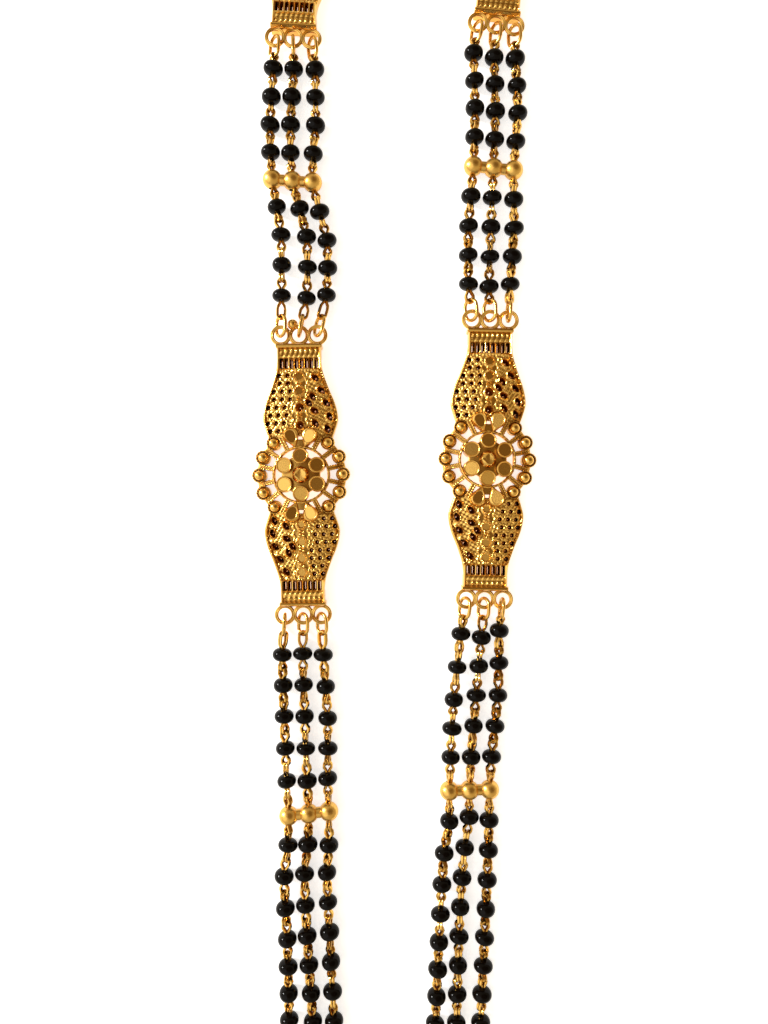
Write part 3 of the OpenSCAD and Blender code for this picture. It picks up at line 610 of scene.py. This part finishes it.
def neck_relief(height, x, y, flat):
    """The neck's front: rims round its slots and down its sides, two seams, and the end bar."""
    top = y > NECK_REACH - SLOT_L - 0.3
    below_bar = y < BAR_REACH - BAR_L
    height = np.where(top, flat - 0.08 * (np.abs(x) / NECK_HALF_W) ** 2, height)
    height += (top & (y < NECK_REACH)) * 0.2 * ridge(slot_distance(x, y) - 0.17, 0.18)
    height += (top & below_bar) * 0.24 * ridge(np.abs(x) - NECK_HALF_W + 0.17, 0.22)
    height -= 0.1 * ((y > NECK_REACH) & below_bar & (np.abs(x) < NECK_HALF_W - RIM_W))
    across = top & (np.abs(x) < NECK_HALF_W - 0.35)
    bars = ridge(y - NECK_REACH - 1.22, 0.44) * np.clip(0.1 - wave(x, SLOT_STEP), 0, 1)
    height += across * 0.22 * bars
    slanted = 0.6 + 0.4 * wave(x - 0.5 * (y - NECK_REACH), SLOT_STEP)
    height += across * 0.2 * ridge(y - NECK_REACH - 0.42, 0.36) * slanted
    groove = ridge(y - BAR_REACH + BAR_L + 0.1, 0.16) + ridge(y - BAR_REACH + 0.02, 0.12)
    height -= top * 0.12 * groove
    on_bar = (y > BAR_REACH - BAR_L) & (y < BAR_REACH - 0.08)
    swell = 1 - ((y - BAR_REACH + BAR_L / 2) / (BAR_L / 2 + 0.02)) ** 2
    return np.where(on_bar, flat - 0.12 + 0.3 * np.sqrt(np.clip(swell, 0, 1)), height)


def front_height(x, y, sizes):
    """The height of the plate's front at each point."""
    crown, relief = sizes.crown / MM, sizes.relief / MM
    flip, hx, hy = half_place(x, y)
    domed, flat = dome(x, crown) - relief, dome(0, crown) - relief
    height = field_relief(domed, flip, hx, hy, flat, sizes)
    height = neck_relief(height, hx, hy, flat)
    height = np.where(np.hypot(x, y) < RING_R, domed - 0.15, height)
    collar = (boule_distance(x, y) < 0.02) & (np.abs(x) > 1)
    height = np.where(collar, np.maximum(height - 0.3, COLLAR_H - 0.1), height)
    edge = np.clip(metal_depth(x, y) / EDGE_R, 0, 1)
    return height - EDGE_R * (1 - np.sqrt(1 - (1 - edge) ** 2))


def clipped_grid(metal, x, y):
    """Triangles of a grid cut along the metal's edge: points, triangles and edge segments."""
    rows, columns = metal.shape
    index = np.arange(rows * columns).reshape(rows, columns)
    a, b = index[:-1, :-1].ravel(), index[:-1, 1:].ravel()
    c, d = index[1:, 1:].ravel(), index[1:, :-1].ravel()
    triangles = np.concatenate([np.stack([a, b, c], 1), np.stack([a, c, d], 1)])
    value = metal.ravel()
    inside = value[triangles] > 0
    count = inside.sum(1)
    size = rows * columns
    out = [np.stack([triangles[count == 3]] * 2, -1)]
    segments = []
    for wanted in (1, 2):
        group = triangles[count == wanted]
        lone = np.argmax(inside[count == wanted] == (wanted == 1), axis=1)
        n = np.arange(len(group))
        p, q, s = group[n, lone], group[n, (lone + 1) % 3], group[n, (lone + 2) % 3]
        pq, ps = np.stack([p, q], 1), np.stack([p, s], 1)
        if wanted == 1:
            out.append(np.stack([np.stack([p, p], 1), pq, ps], 1))
            segments.append(np.stack([pq, ps], 1))
        else:
            out.append(np.stack([pq, np.stack([q, q], 1), np.stack([s, s], 1)], 1))
            out.append(np.stack([pq, np.stack([s, s], 1), ps], 1))
            segments.append(np.stack([ps, pq], 1))
    pairs = np.concatenate([np.sort(t, axis=-1).reshape(-1, 2) for t in out])
    keys = pairs[:, 0] * size + pairs[:, 1]
    unique, faces = np.unique(keys, return_inverse=True)
    low, high = unique // size, unique % size
    same = low == high
    t = np.where(same, 0, value[low] / np.where(same, 1, value[low] - value[high]))
    px = x.ravel()[low] * (1 - t) + x.ravel()[high] * t
    py = y.ravel()[low] * (1 - t) + y.ravel()[high] * t
    ends = np.sort(np.concatenate(segments), axis=-1)
    edges = np.searchsorted(unique, ends[..., 0] * size + ends[..., 1])
    return np.stack([px, py], 1), faces.reshape(-1, 3), edges


def cast_plate(shell, sizes):
    """The pierced plate: its front in relief, its hollow back and the walls of its openings."""
    grid = sizes.grid / MM
    x, y = np.meshgrid(*[np.arange(-half, half + grid, grid) for half in (GRID_HALF_W, GRID_HALF_L)])
    flat, faces, edges = clipped_grid(metal_depth(x, y), x, y)
    x, y = flat.T
    back = np.where(np.abs(y) > NECK_REACH, 0, hollow(x))
    front = np.maximum(front_height(x, y, sizes), back + PLATE_H)
    points = np.vstack([np.column_stack([flat, front]), np.column_stack([*drafted(x, y), back])])
    n = len(flat)
    walls = np.stack([edges[:, 0], edges[:, 1], edges[:, 1] + n, edges[:, 0] + n], 1)
    shell.add(points, (faces, faces[:, ::-1] + n, walls[:, ::-1]))


# A petal's rim, and its round section: share of its width, and height under its crest
RIM = 0.28
RIM_SECTION = [(0, -0.2), (0, -0.13), (0.14, -0.04), (0.38, 0), (0.62, -0.02), (0.84, -0.09),
               (1, -0.17)]


def capped(shell, rows, tip):
    """Rings of points one above another, closed by a fan about a tip."""
    n = len(rows[0])
    last = np.arange((len(rows) - 1) * n, len(rows) * n)
    shell.add(np.vstack([*rows, tip]), (band(len(rows), n), fan(last, len(rows) * n)))


def raised_disc(shell, outline, middle, top, lean):
    """A raised disc with a round rim about its flat face. It leans as a slope in x, y."""
    away = np.linalg.norm(outline - middle, axis=1)[:, None]
    rows = [np.column_stack([outline, np.full(len(outline), ROOT_H)])]
    for share, drop in RIM_SECTION:
        flat = middle + (outline - middle) * (1 - share * RIM / away)
        rows.append(np.column_stack([flat, (flat - middle) @ lean + top + drop]))
    capped(shell, rows, (*middle, top + RIM_SECTION[-1][1]))


def skirted(shell, foot, crest, middle, top, fall, lean, rim, face):
    """A raised piece whose skirt runs from the outline of its foot up to that of its crest.
    Within a narrow rim lies its face: flat, or a function of x for one with a crease."""
    rows = [np.column_stack([foot, np.full(len(foot), ROOT_H)])]
    for share, drop in ((0, -fall), (0.3, -0.6 * fall), (0.72, -0.2 * fall), (1, 0)):
        flat = foot + (crest - foot) * share
        rows.append(np.column_stack([flat, (flat - middle) @ lean * share + top + drop]))
    away = np.linalg.norm(crest - middle, axis=1)[:, None]
    for inset, drop in ((0.4 * rim, -0.02), (rim, -0.1)):
        flat = middle + (crest - middle) * (1 - inset / away)
        rows.append(np.column_stack([flat, (flat - middle) @ lean + top + drop]))
    if face is None:
        capped(shell, rows, (*middle, top - 0.1))
    else:
        n = len(foot)
        last = np.arange((len(rows) - 1) * n, len(rows) * n)
        rows[-1][:, 2] += face(rows[-1][:, 0])
        loops = [last[list(loop)][None, :] for loop in BOSS_FACES]
        shell.add(np.vstack(rows), (band(len(rows), n), *loops))


def circle_outline(middle, r, sides=28):
    angle = around(sides)
    return np.column_stack([middle[0] + r * np.cos(angle), middle[1] + r * np.sin(angle)])


def drop_outline(hand, steps=26):
    """A teardrop's outline: a round end and a tip, anticlockwise."""
    middle, tip = np.array(DROP_MIDDLE), np.array(DROP_TIP)
    reach = np.linalg.norm(middle - tip)
    way = (tip - middle) / reach
    touch = math.acos(DROP_R / reach)
    start = math.atan2(way[1], way[0]) + touch
    angle = start + (2 * math.pi - 2 * touch) * np.linspace(0, 1, steps)
    round_end = np.column_stack([np.cos(angle), np.sin(angle)]) * DROP_R + middle
    sides = [tip + (round_end[0] - tip) * t for t in (0.03, 0.35, 0.7)]
    back = [tip + (round_end[-1] - tip) * t for t in (0.7, 0.35, 0.03)]
    outline = np.vstack([sides, round_end, back])
    if hand < 0:
        outline = (outline * [-1, 1])[::-1]
    return outline


def arc(middle, r, start, end, step, height):
    """Points along an arc, at a height or with the height of each from a function of x."""
    count = max(4, int(abs(math.radians(end - start)) * r / step))
    angle = np.radians(np.linspace(start, end, count))
    x, y = middle[0] + r * np.cos(angle), middle[1] + r * np.sin(angle)
    return np.column_stack([x, y, height(x) if callable(height) else np.full(count, height)])


def add_flower(shell, sizes):
    """The ring in the middle of the plaque, with its petals and its creased boss."""
    crown = sizes.crown / MM
    ring = arc((0, 0), RING_R, 0, 360, 0.1, lambda x: dome(x, crown) - 0.3)[:-1]
    shell.add(*tube(ring, RING_WIRE / 2, 8, closed=True, twist=0.45, depth=0.15))
    for angle in PETAL_ANGLES:
        middle = polar(PETAL_REACH, angle)
        raised_disc(shell, circle_outline(middle, PETAL_R), middle, PETAL_H,
                    -math.tan(sizes.petal_tilt) * polar(1, angle))
    crest = circle_outline((CREST_X, 0), CREST_R)
    pointed = crest[:, 0] < CREASE_X
    crest[pointed, 1] *= 1 + (crest[pointed, 0] - CREASE_X) / 0.95
    crest[pointed, 0] = CREASE_X + (crest[pointed, 0] - CREASE_X) * 1.2
    skirted(shell, circle_outline((0, 0), BOSS_R), crest, (0, 0), BOSS_H, 0.55, (0, 0), 0.08,
            lambda x: (x - CREASE_X) * np.where(x > CREASE_X, 0.19, -0.1))


def add_drops(shell, sizes):
    """The teardrops, two on each half, which lean inwards."""
    for turn in UPPER_LOWER:
        for hand in LEFT_RIGHT:
            mirror = np.array([hand, 1]) * turn
            middle, tip = DROP_MIDDLE * mirror, DROP_TIP * mirror
            outline = drop_outline(hand) * turn
            away = unit(outline - middle)
            towards = np.clip(away @ unit(tip - middle), 0, 1)
            crest = middle + away * (0.86 + 0.5 * towards ** 3)[:, None]
            slope = (math.tan(sizes.drop_tilt), 0) * mirror
            skirted(shell, outline, crest, middle, DROP_H, 0.42, slope, 0.12, None)


def add_boules(shell, sizes):
    """Balls in their collars, with a twisted wire round the outer side of each."""
    collar = [(0, 0.0), (COLLAR_R - 0.1, 0.0), (COLLAR_R, 0.1), (COLLAR_R, COLLAR_H - 0.12),
              (COLLAR_R - 0.08, COLLAR_H), (0, COLLAR_H)]
    for angle in BOULE_ANGLES:
        x, y = polar(BOULE_REACH, angle)
        shell.add(*lathe(BALL, 20), Matrix.Translation((x, y, COLLAR_H)) @ Matrix.Scale(BOULE_R, 4))
        shell.add(*lathe(collar, 24), Matrix.Translation((x, y, 0)))
        rope = arc((x, y), COLLAR_R - 0.06, angle - 130, angle + 130, 0.1, COLLAR_H + 0.15)
        shell.add(*tube(rope, sizes.wire / MM / 2, 6, twist=0.7, depth=0.35))


def add_spokes(shell, sizes):
    """Spokes of paired twisted wires, from the ring out between the balls."""
    r = np.arange(RING_R + 0.1, BAND_R - 0.25, 0.1)
    for angle in SPOKE_ANGLES:
        ux, uy = polar(1, angle)
        for side in (-1, 1):
            x, y = r * ux - side * SPOKE_WIRE * uy, r * uy + side * SPOKE_WIRE * ux
            line = np.column_stack([x, y, dome(x, sizes.crown / MM) - 0.34])
            shell.add(*tube(line, SPOKE_WIRE * 1.08, 8, twist=side * 0.8, depth=0.36))


def add_eyes(shell):
    """Eyes of two wires each, joined side by side and to the end bar."""
    for turn in UPPER_LOWER:
        for side in (-1, 0, 1):
            for eye_r, wire_r in EYE_WIRES:
                eye = arc((side * EYE_PITCH, EYE_REACH), eye_r, 0, 360, 0.2, STRAND_Z)[:-1]
                eye[:, :2] *= turn
                shell.add(*tube(eye, wire_r, 8, closed=True))


def plaque_mesh():
    sizes = settings().plaque
    shell = Shell()
    cast_plate(shell, sizes)
    add_flower(shell, sizes)
    add_drops(shell, sizes)
    add_boules(shell, sizes)
    add_spokes(shell, sizes)
    add_eyes(shell)
    return shell.mesh("filigree plaque")


def ball_mesh():
    """The ball that is soldered to one plaque, on the edge of its upper middle eye."""
    shell = Shell()
    shell.add(*lathe(BALL, 24), Matrix.Translation(BALL_PLACE) @ Matrix.Scale(BALL_R, 4))
    return shell.mesh("solder ball")


# Places read from the frame


def node_points(node):
    """Every point of a node, in millimetres."""
    return np.array([v.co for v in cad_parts[node].data.vertices]) / MM


def plaque_place(node):
    """Where a plaque's node lies: the middle and turn of its solid, from its two end bars."""
    points = node_points(node)
    ground = points[points[:, 2] < 0.02, :2]
    middle_y = (ground[:, 1].max() + ground[:, 1].min()) / 2
    bars = [ground[side * (ground[:, 1] - middle_y) > NECK_REACH + 0.3] for side in (1, -1)]
    top, foot = [(bar.max(0) + bar.min(0)) / 2 for bar in bars]
    way = top - foot
    return (top + foot) / 2, math.atan2(-way[0], way[1])


def solids(node):
    """The separate solids of a node, each as an array of points in millimetres."""
    bm = bmesh.new()
    bm.from_mesh(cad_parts[node].data)
    bmesh.ops.remove_doubles(bm, verts=bm.verts, dist=1e-6)
    bm.verts.ensure_lookup_table()
    seen = np.zeros(len(bm.verts), bool)
    found = []
    for start in bm.verts:
        if seen[start.index]:
            continue
        seen[start.index] = True
        island, queue = [], [start]
        while queue:
            vert = queue.pop()
            island.append(vert.co / MM)
            for edge in vert.link_edges:
                other = edge.other_vert(vert)
                if not seen[other.index]:
                    seen[other.index] = True
                    queue.append(other)
        found.append(np.array(island))
    bm.free()
    return found


def middle_and_axis(points, shortest):
    """The middle of a solid, and the level direction of its shortest or longest extent."""
    middle = (points.max(0) + points.min(0)) / 2
    flat = points[:, :2] - points[:, :2].mean(0)
    return middle, np.linalg.eigh(flat.T @ flat)[1][:, 0 if shortest else 1]


def in_order(places, rings):
    """Beads from the one by a jump ring to the strand's far end, each next to the last."""
    span = np.linalg.norm(places[:, None] - places[None, :], axis=2)
    hooks = np.array(rings).reshape(-1, 3)
    start = int(np.argmin(np.linalg.norm(places[:, None] - hooks[None, :], axis=2).min(1)))
    order, left = [start], set(range(len(places))) - {start}
    while left:
        order.append(min(left, key=lambda k: span[order[-1], k]))
        left.remove(order[-1])
    return order


# Beads further apart than this have a spacer's ball between them
BALL_GAP = 6.2


def strand_items(name, rings, balls):
    """A strand's beads and spacer balls in order, each a middle and a length, and the ends of
    the jump rings that the strand hooks into."""
    beads = np.array([middle_and_axis(points, True)[0] for points in solids("beads_" + name)])
    items = []
    for place in beads[in_order(beads, rings)]:
        if items and np.linalg.norm(place - items[-1][0]) > BALL_GAP:
            halfway = (place + items[-1][0]) / 2
            items.append((min(balls, key=lambda b: np.linalg.norm(b - halfway)), BALL_D))
        items.append((place, BEAD_L))
    ends = [min((end for ring in rings for end in ring), key=lambda e: np.linalg.norm(e - place))
            for place in (items[0][0], items[-1][0])]
    return items, ends


def along_nodes(kind):
    """The points, middle and long way of every jump ring, or of every spacer as a whole."""
    for node in sorted(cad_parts):
        if node.startswith(kind):
            for points in solids(node) if kind == "rings_" else [node_points(node)]:
                middle, axis = middle_and_axis(points, False)
                yield points, middle, axis


def ring_ends():
    """The two ends of every jump ring's middle line."""
    ends = []
    for points, middle, axis in along_nodes("rings_"):
        flat = points[:, :2] @ axis
        half = ((flat.max() - flat.min()) / 2 - JUMP_RING_R) * np.array([*axis, 0])
        middle[2] = STRAND_Z
        ends.append((middle + half, middle - half))
    return ends


def spacer_balls():
    """The middle of every ball of the spacers."""
    return [middle + side * BALL_PITCH * np.array([*axis, 0])
            for _, middle, axis in along_nodes("spacer_") for side in (-1, 0, 1)]


# The chain's links

# In widths of the wire: half the space between a link's loops where it is narrow, half the space
# between its two wires, and how far it reaches past the joint with the next
NARROW, BESIDE, HOOKED = 0.51, 0.53, 0.52
# In millimetres: a link's narrow part past each end of its bead, and how soon it is wide again
NECK_PAST, NECK_SWELL = 0.1, 0.6
# By how much the joints differ in place, in millimetres, and the links in roll, in radians
JOINT_SHIFT, ROLL_SHIFT = 0.12, 0.45


def link(shell, start, end, item, roll, sizes):
    """Two closed wire loops side by side, from start to end, narrow inside their item."""
    wire = sizes.wire / MM
    wide = sizes.width / MM / 2 - wire / 2
    place, item_l = item
    length = np.linalg.norm(end - start)
    way = (end - start) / length
    bore = start + way * np.clip((place - start) @ way, 0, length)
    at = np.linalg.norm(bore - start)
    neck = np.array([at - item_l / 2 - NECK_PAST, at + item_l / 2 + NECK_PAST])
    round_r = min(wide, length / 2 * 0.95)
    tips = round_r * (1 - np.cos(np.radians([0, 30, 60])))
    s = np.concatenate([tips, length - tips, np.linspace(0, neck[0], 6), np.linspace(*neck, 7),
                        np.linspace(neck[1], length, 6)])
    s = np.unique(np.round(s, 4))
    tip = np.clip(np.minimum(s, length - s) / round_r, 0, 1)
    swell = wide * np.sqrt(1 - (1 - tip) ** 2)
    gap = np.clip(np.maximum(neck[0] - s, s - neck[1]) / NECK_SWELL, 0, 1)
    squeeze = NARROW * wire + (wide - NARROW * wire) * gap ** 1.3
    w = np.minimum(swell, squeeze)
    side = np.cross(way, [0, 0, 1])
    up = np.cross(side, way)
    out = side * math.cos(roll) + up * math.sin(roll)
    beside = up * math.cos(roll) - side * math.sin(roll)
    curve = start + way * s[:, None] + (place - bore) * np.sin(math.pi * s / length)[:, None]
    right = curve + out * w[:, None]
    left = (curve - out * w[:, None])[::-1]
    loop = np.vstack([right, left[1:-1] if w[-1] < 1e-6 else left])
    for step in (-BESIDE, BESIDE):
        lane = loop + beside * wire * step
        level = np.linalg.svd(lane - lane.mean(0))[2][2]
        shell.add(*tube(lane, wire / 2, sizes.sides, closed=True, level=level))


def strand_links(items, hooks, number):
    """The links of a strand: a double one through each bead or ball, hooked into the next."""
    sizes = settings().chain
    wire = sizes.wire / MM
    rng = np.random.default_rng(100 + number)
    shell = Shell()
    first, last = [hook - unit(place - hook) * (JUMP_RING_R + wire / 2)
                   for hook, (place, _) in zip(hooks, (items[0], items[-1]))]
    joints = []
    for (a, a_l), (b, b_l) in zip(items[:-1], items[1:]):
        way = unit(b - a)
        near, far = a + way * a_l / 2, b - way * b_l / 2
        joints.append((near + far) / 2 + way * rng.uniform(-JOINT_SHIFT, JOINT_SHIFT))
    for k, item in enumerate(items):
        start = joints[k - 1] if k else first
        end = joints[k] if k < len(joints) else last
        start_way, end_way = unit(start - item[0]), unit(end - item[0])
        if k:
            start = start + start_way * wire * HOOKED
        if k < len(joints):
            end = end + end_way * wire * HOOKED
        roll = math.pi * (0.1 + 0.5 * (k % 2)) + rng.uniform(-ROLL_SHIFT, ROLL_SHIFT)
        link(shell, start, end, item, roll, sizes)
    return shell.mesh("links")


# The beads

# In millimetres: the radius of a bead's bore, and how far the bore's mouth opens
BORE_R, MOUTH = 0.43, 0.06


def bead_points(sides, rng, uneven):
    """A drawn and tumbled glass bead with its bore along Y: a soft, slightly uneven barrel."""
    half_l = BEAD_L / 2
    round_side = [(BEAD_R - half_l + half_l * math.cos(a), half_l * math.sin(a))
                  for a in np.radians(np.arange(-90, 91, 15))]
    profile = [(BORE_R + MOUTH, -half_l + 0.02), *round_side, (BORE_R + MOUTH, half_l - 0.02),
               (BORE_R, half_l - 2 * MOUTH), (BORE_R, -half_l + 2 * MOUTH)]
    r, height = np.array(profile).T[..., None]
    angle = around(sides)
    wobble = 1 + uneven * 0.5 * np.sin(2 * angle + rng.uniform(0, 6))
    r = r * np.where(r > BORE_R + 0.1, wobble, 1.0)
    points = np.stack(np.broadcast_arrays(r * np.cos(angle), height, r * np.sin(angle)), -1)
    return points.reshape(-1, 3), band(len(profile), sides, closed_rows=True)


def strand_beads(name, number):
    """Every bead of a strand, each a little different, where its solid is."""
    sizes = settings().bead
    rng = np.random.default_rng(500 + number)
    shell = Shell()
    for points in solids("beads_" + name):
        middle, axis = middle_and_axis(points, True)
        body, faces = bead_points(sizes.sides, rng, sizes.uneven)
        length = 1 + sizes.uneven * rng.uniform(-2.5, 2.0)
        girth = 1 + sizes.uneven * rng.uniform(-0.2, 0.9)
        turn = Matrix.Rotation(math.atan2(-axis[0], axis[1]), 4, "Z")
        lean = Matrix.Rotation(rng.uniform(-0.13, 0.13), 4, "Z")
        spin = Matrix.Rotation(rng.uniform(0, 6.28), 4, "Y")
        shell.add(body * [girth, length, girth], faces,
                  Matrix.Translation(middle) @ turn @ lean @ spin)
    return shell.mesh("beads")


# Operators


class MakePlaques(bpy.types.Operator):
    """Casts the filigree plaque and lays it in its four places"""
    bl_idname = "mangalsutra.plaques"
    bl_label = "Filigree plaques"

    def execute(self, context):
        mesh = plaque_mesh()
        for name in PLAQUES:
            node = "plaque_" + name
            place, turn = plaque_place(node)
            piece = show("filigree_" + name, mesh, "cast gold plate", [node])
            piece.matrix_world = (Matrix.Translation((place[0] * MM, place[1] * MM, 0))
                                  @ Matrix.Rotation(turn, 4, "Z"))
            if name == BALL_PLAQUE:
                ball = show("solder_ball", ball_mesh(), "cast gold plate", [node])
                ball.matrix_world = piece.matrix_world
        return {"FINISHED"}


class MakeChains(bpy.types.Operator):
    """Threads a chain of double-wire links through the beads and spacers of each strand"""
    bl_idname = "mangalsutra.chains"
    bl_label = "Link chains"

    def execute(self, context):
        rings, balls = ring_ends(), spacer_balls()
        for number, name in enumerate(STRANDS):
            mesh = strand_links(*strand_items(name, rings, balls), number)
            show("links_" + name, mesh, "drawn gold wire", ["chain_" + name])
        return {"FINISHED"}


class MakeBeads(bpy.types.Operator):
    """Strings the black glass beads of each strand"""
    bl_idname = "mangalsutra.beads"
    bl_label = "Glass beads"

    def execute(self, context):
        for number, name in enumerate(STRANDS):
            mesh = strand_beads(name, number)
            show("glass_" + name, mesh, "black bead glass", ["beads_" + name])
        return {"FINISHED"}


class DressGoldwork(bpy.types.Operator):
    """Gives the jump rings, spacer bars and clasp their gold finishes"""
    bl_idname = "mangalsutra.goldwork"
    bl_label = "Rings, spacers and clasp"

    def execute(self, context):
        for name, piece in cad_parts.items():
            if name.startswith("rings_"):
                finish = "drawn gold wire"
            elif name.startswith("spacer_") or name == "clasp":
                finish = "satin gold"
            else:
                continue
            piece.data.materials.clear()
            piece.data.materials.append(material_for(finish))
        return {"FINISHED"}


# In metres: half the floor's side, how far it lies under the necklace so that the two do not
# flicker, and the place that both lamps point to
FLOOR_HALF, FLOOR_DROP, LAMP_AIM = 3.0, 0.00002, (-0.004, -0.03, 0)


class SetStage(bpy.types.Operator):
    """Lays the floor, lights it softly from the left and sets the camera straight above"""
    bl_idname = "mangalsutra.stage"
    bl_label = "Floor, light and camera"

    def execute(self, context):
        scene = context.scene
        sizes = settings().stage
        corners = [(x * FLOOR_HALF, y * FLOOR_HALF, 0)
                   for x, y in ((-1, -1), (1, -1), (1, 1), (-1, 1))]
        mesh = bpy.data.meshes.new("floor")
        mesh.from_pydata(corners, [], [(0, 1, 2, 3)])
        mesh.materials.append(material_for("white paper"))
        floor = place_in_scene("floor", mesh)
        floor.location.z = -FLOOR_DROP
        self.sky(scene)
        self.lamps()
        camera = bpy.data.cameras.new("camera")
        camera.sensor_fit = "VERTICAL"
        camera.sensor_height = 36.0
        camera.lens = sizes.lens
        camera.clip_start = 0.001
        camera.clip_end = 20
        scene.camera = place_in_scene("camera", camera)
        scene.camera.location = (*sizes.aim, sizes.camera_h)
        scene.view_settings.view_transform = "Standard"
        return {"FINISHED"}

    @staticmethod
    def sky(scene):
        """Room light: warm all round, bright on the left, and dark where the lens looks down."""
        world = bpy.data.worlds.new("room")
        scene.world = world
        world.use_nodes = True
        tree = world.node_tree
        tree.nodes.clear()
        place = add(tree, "ShaderNodeTexCoord")

        def lobe(way, start, full):
            lean = add(tree, "ShaderNodeVectorMath", {1: way}, {0: place.outputs["Generated"]},
                       operation="DOT_PRODUCT")
            return add(tree, "ShaderNodeMapRange", {"From Min": start, "From Max": full},
                       {"Value": lean.outputs["Value"]}, interpolation_type="SMOOTHSTEP")

        left = lobe((-0.93, -0.36, 0.0), 0.05, 0.4)
        above = lobe((0.352, 0.302, 0.886), math.cos(math.radians(42)), math.cos(math.radians(30)))
        room = add(tree, "ShaderNodeMixRGB", {"Color1": (0.62, 0.54, 0.38, 1),
                                              "Color2": (0.7, 0.67, 0.6, 1)},
                   {"Fac": left.outputs[0]})
        tone = add(tree, "ShaderNodeMixRGB", {"Color2": (0.19, 0.12, 0.05, 1)},
                   {"Fac": above.outputs[0], "Color1": room.outputs[0]})
        light = add(tree, "ShaderNodeBackground", {"Strength": 1.0}, {"Color": tone.outputs[0]})
        add(tree, "ShaderNodeOutputWorld", links={"Surface": light.outputs[0]})

    @staticmethod
    def lamps():
        """A wide soft light on the left, and the low window whose glint shows on every bead."""
        soft = bpy.data.lights.new("soft light", "SUN")
        soft.energy = 0.55
        soft.angle = math.radians(60)
        soft.color = (0.95, 0.98, 1.0)
        window = bpy.data.lights.new("window", "AREA")
        window.size = 0.16
        window.energy = 6.0
        for lamp, place in ((soft, (-0.66, -0.25, 0.7)), (window, (-0.75, 0.2, 0.3))):
            body = place_in_scene(lamp.name, lamp)
            body.location = place
            way = Vector(LAMP_AIM) - body.location
            body.rotation_euler = way.to_track_quat("-Z", "Y").to_euler()


class MangalsutraPanel(bpy.types.Panel):
    """The necklace's pieces, in the order that they are made"""
    bl_idname = "VIEW3D_PT_mangalsutra"
    bl_label = "Mangalsutra"
    bl_space_type = "VIEW_3D"
    bl_region_type = "UI"
    bl_category = "Mangalsutra"

    def draw(self, context):
        groups = context.scene.mangalsutra
        for title, group in (("Plaque", groups.plaque), ("Chain", groups.chain),
                             ("Beads", groups.bead), ("Finishes", groups.finish),
                             ("Stage", groups.stage)):
            box = self.layout.box()
            box.label(text=title)
            for name in group.__annotations__:
                box.prop(group, name)
        for operator in OPERATORS:
            self.layout.operator(operator.bl_idname)


OPERATORS = (MakePlaques, MakeChains, MakeBeads, DressGoldwork, SetStage)
CLASSES = (PlaqueSizes, ChainSizes, BeadSizes, Finishes, StageSizes, MangalsutraSettings,
           *OPERATORS, MangalsutraPanel)


def register():
    for cls in CLASSES:
        bpy.utils.register_class(cls)
    bpy.types.Scene.mangalsutra = PointerProperty(type=MangalsutraSettings)


def unregister():
    del bpy.types.Scene.mangalsutra
    for cls in reversed(CLASSES):
        bpy.utils.unregister_class(cls)


def main():
    register()
    bpy.ops.mangalsutra.plaques()
    bpy.ops.mangalsutra.chains()
    bpy.ops.mangalsutra.beads()
    bpy.ops.mangalsutra.goldwork()
    bpy.ops.mangalsutra.stage()


if __name__ == "__main__":
    main()
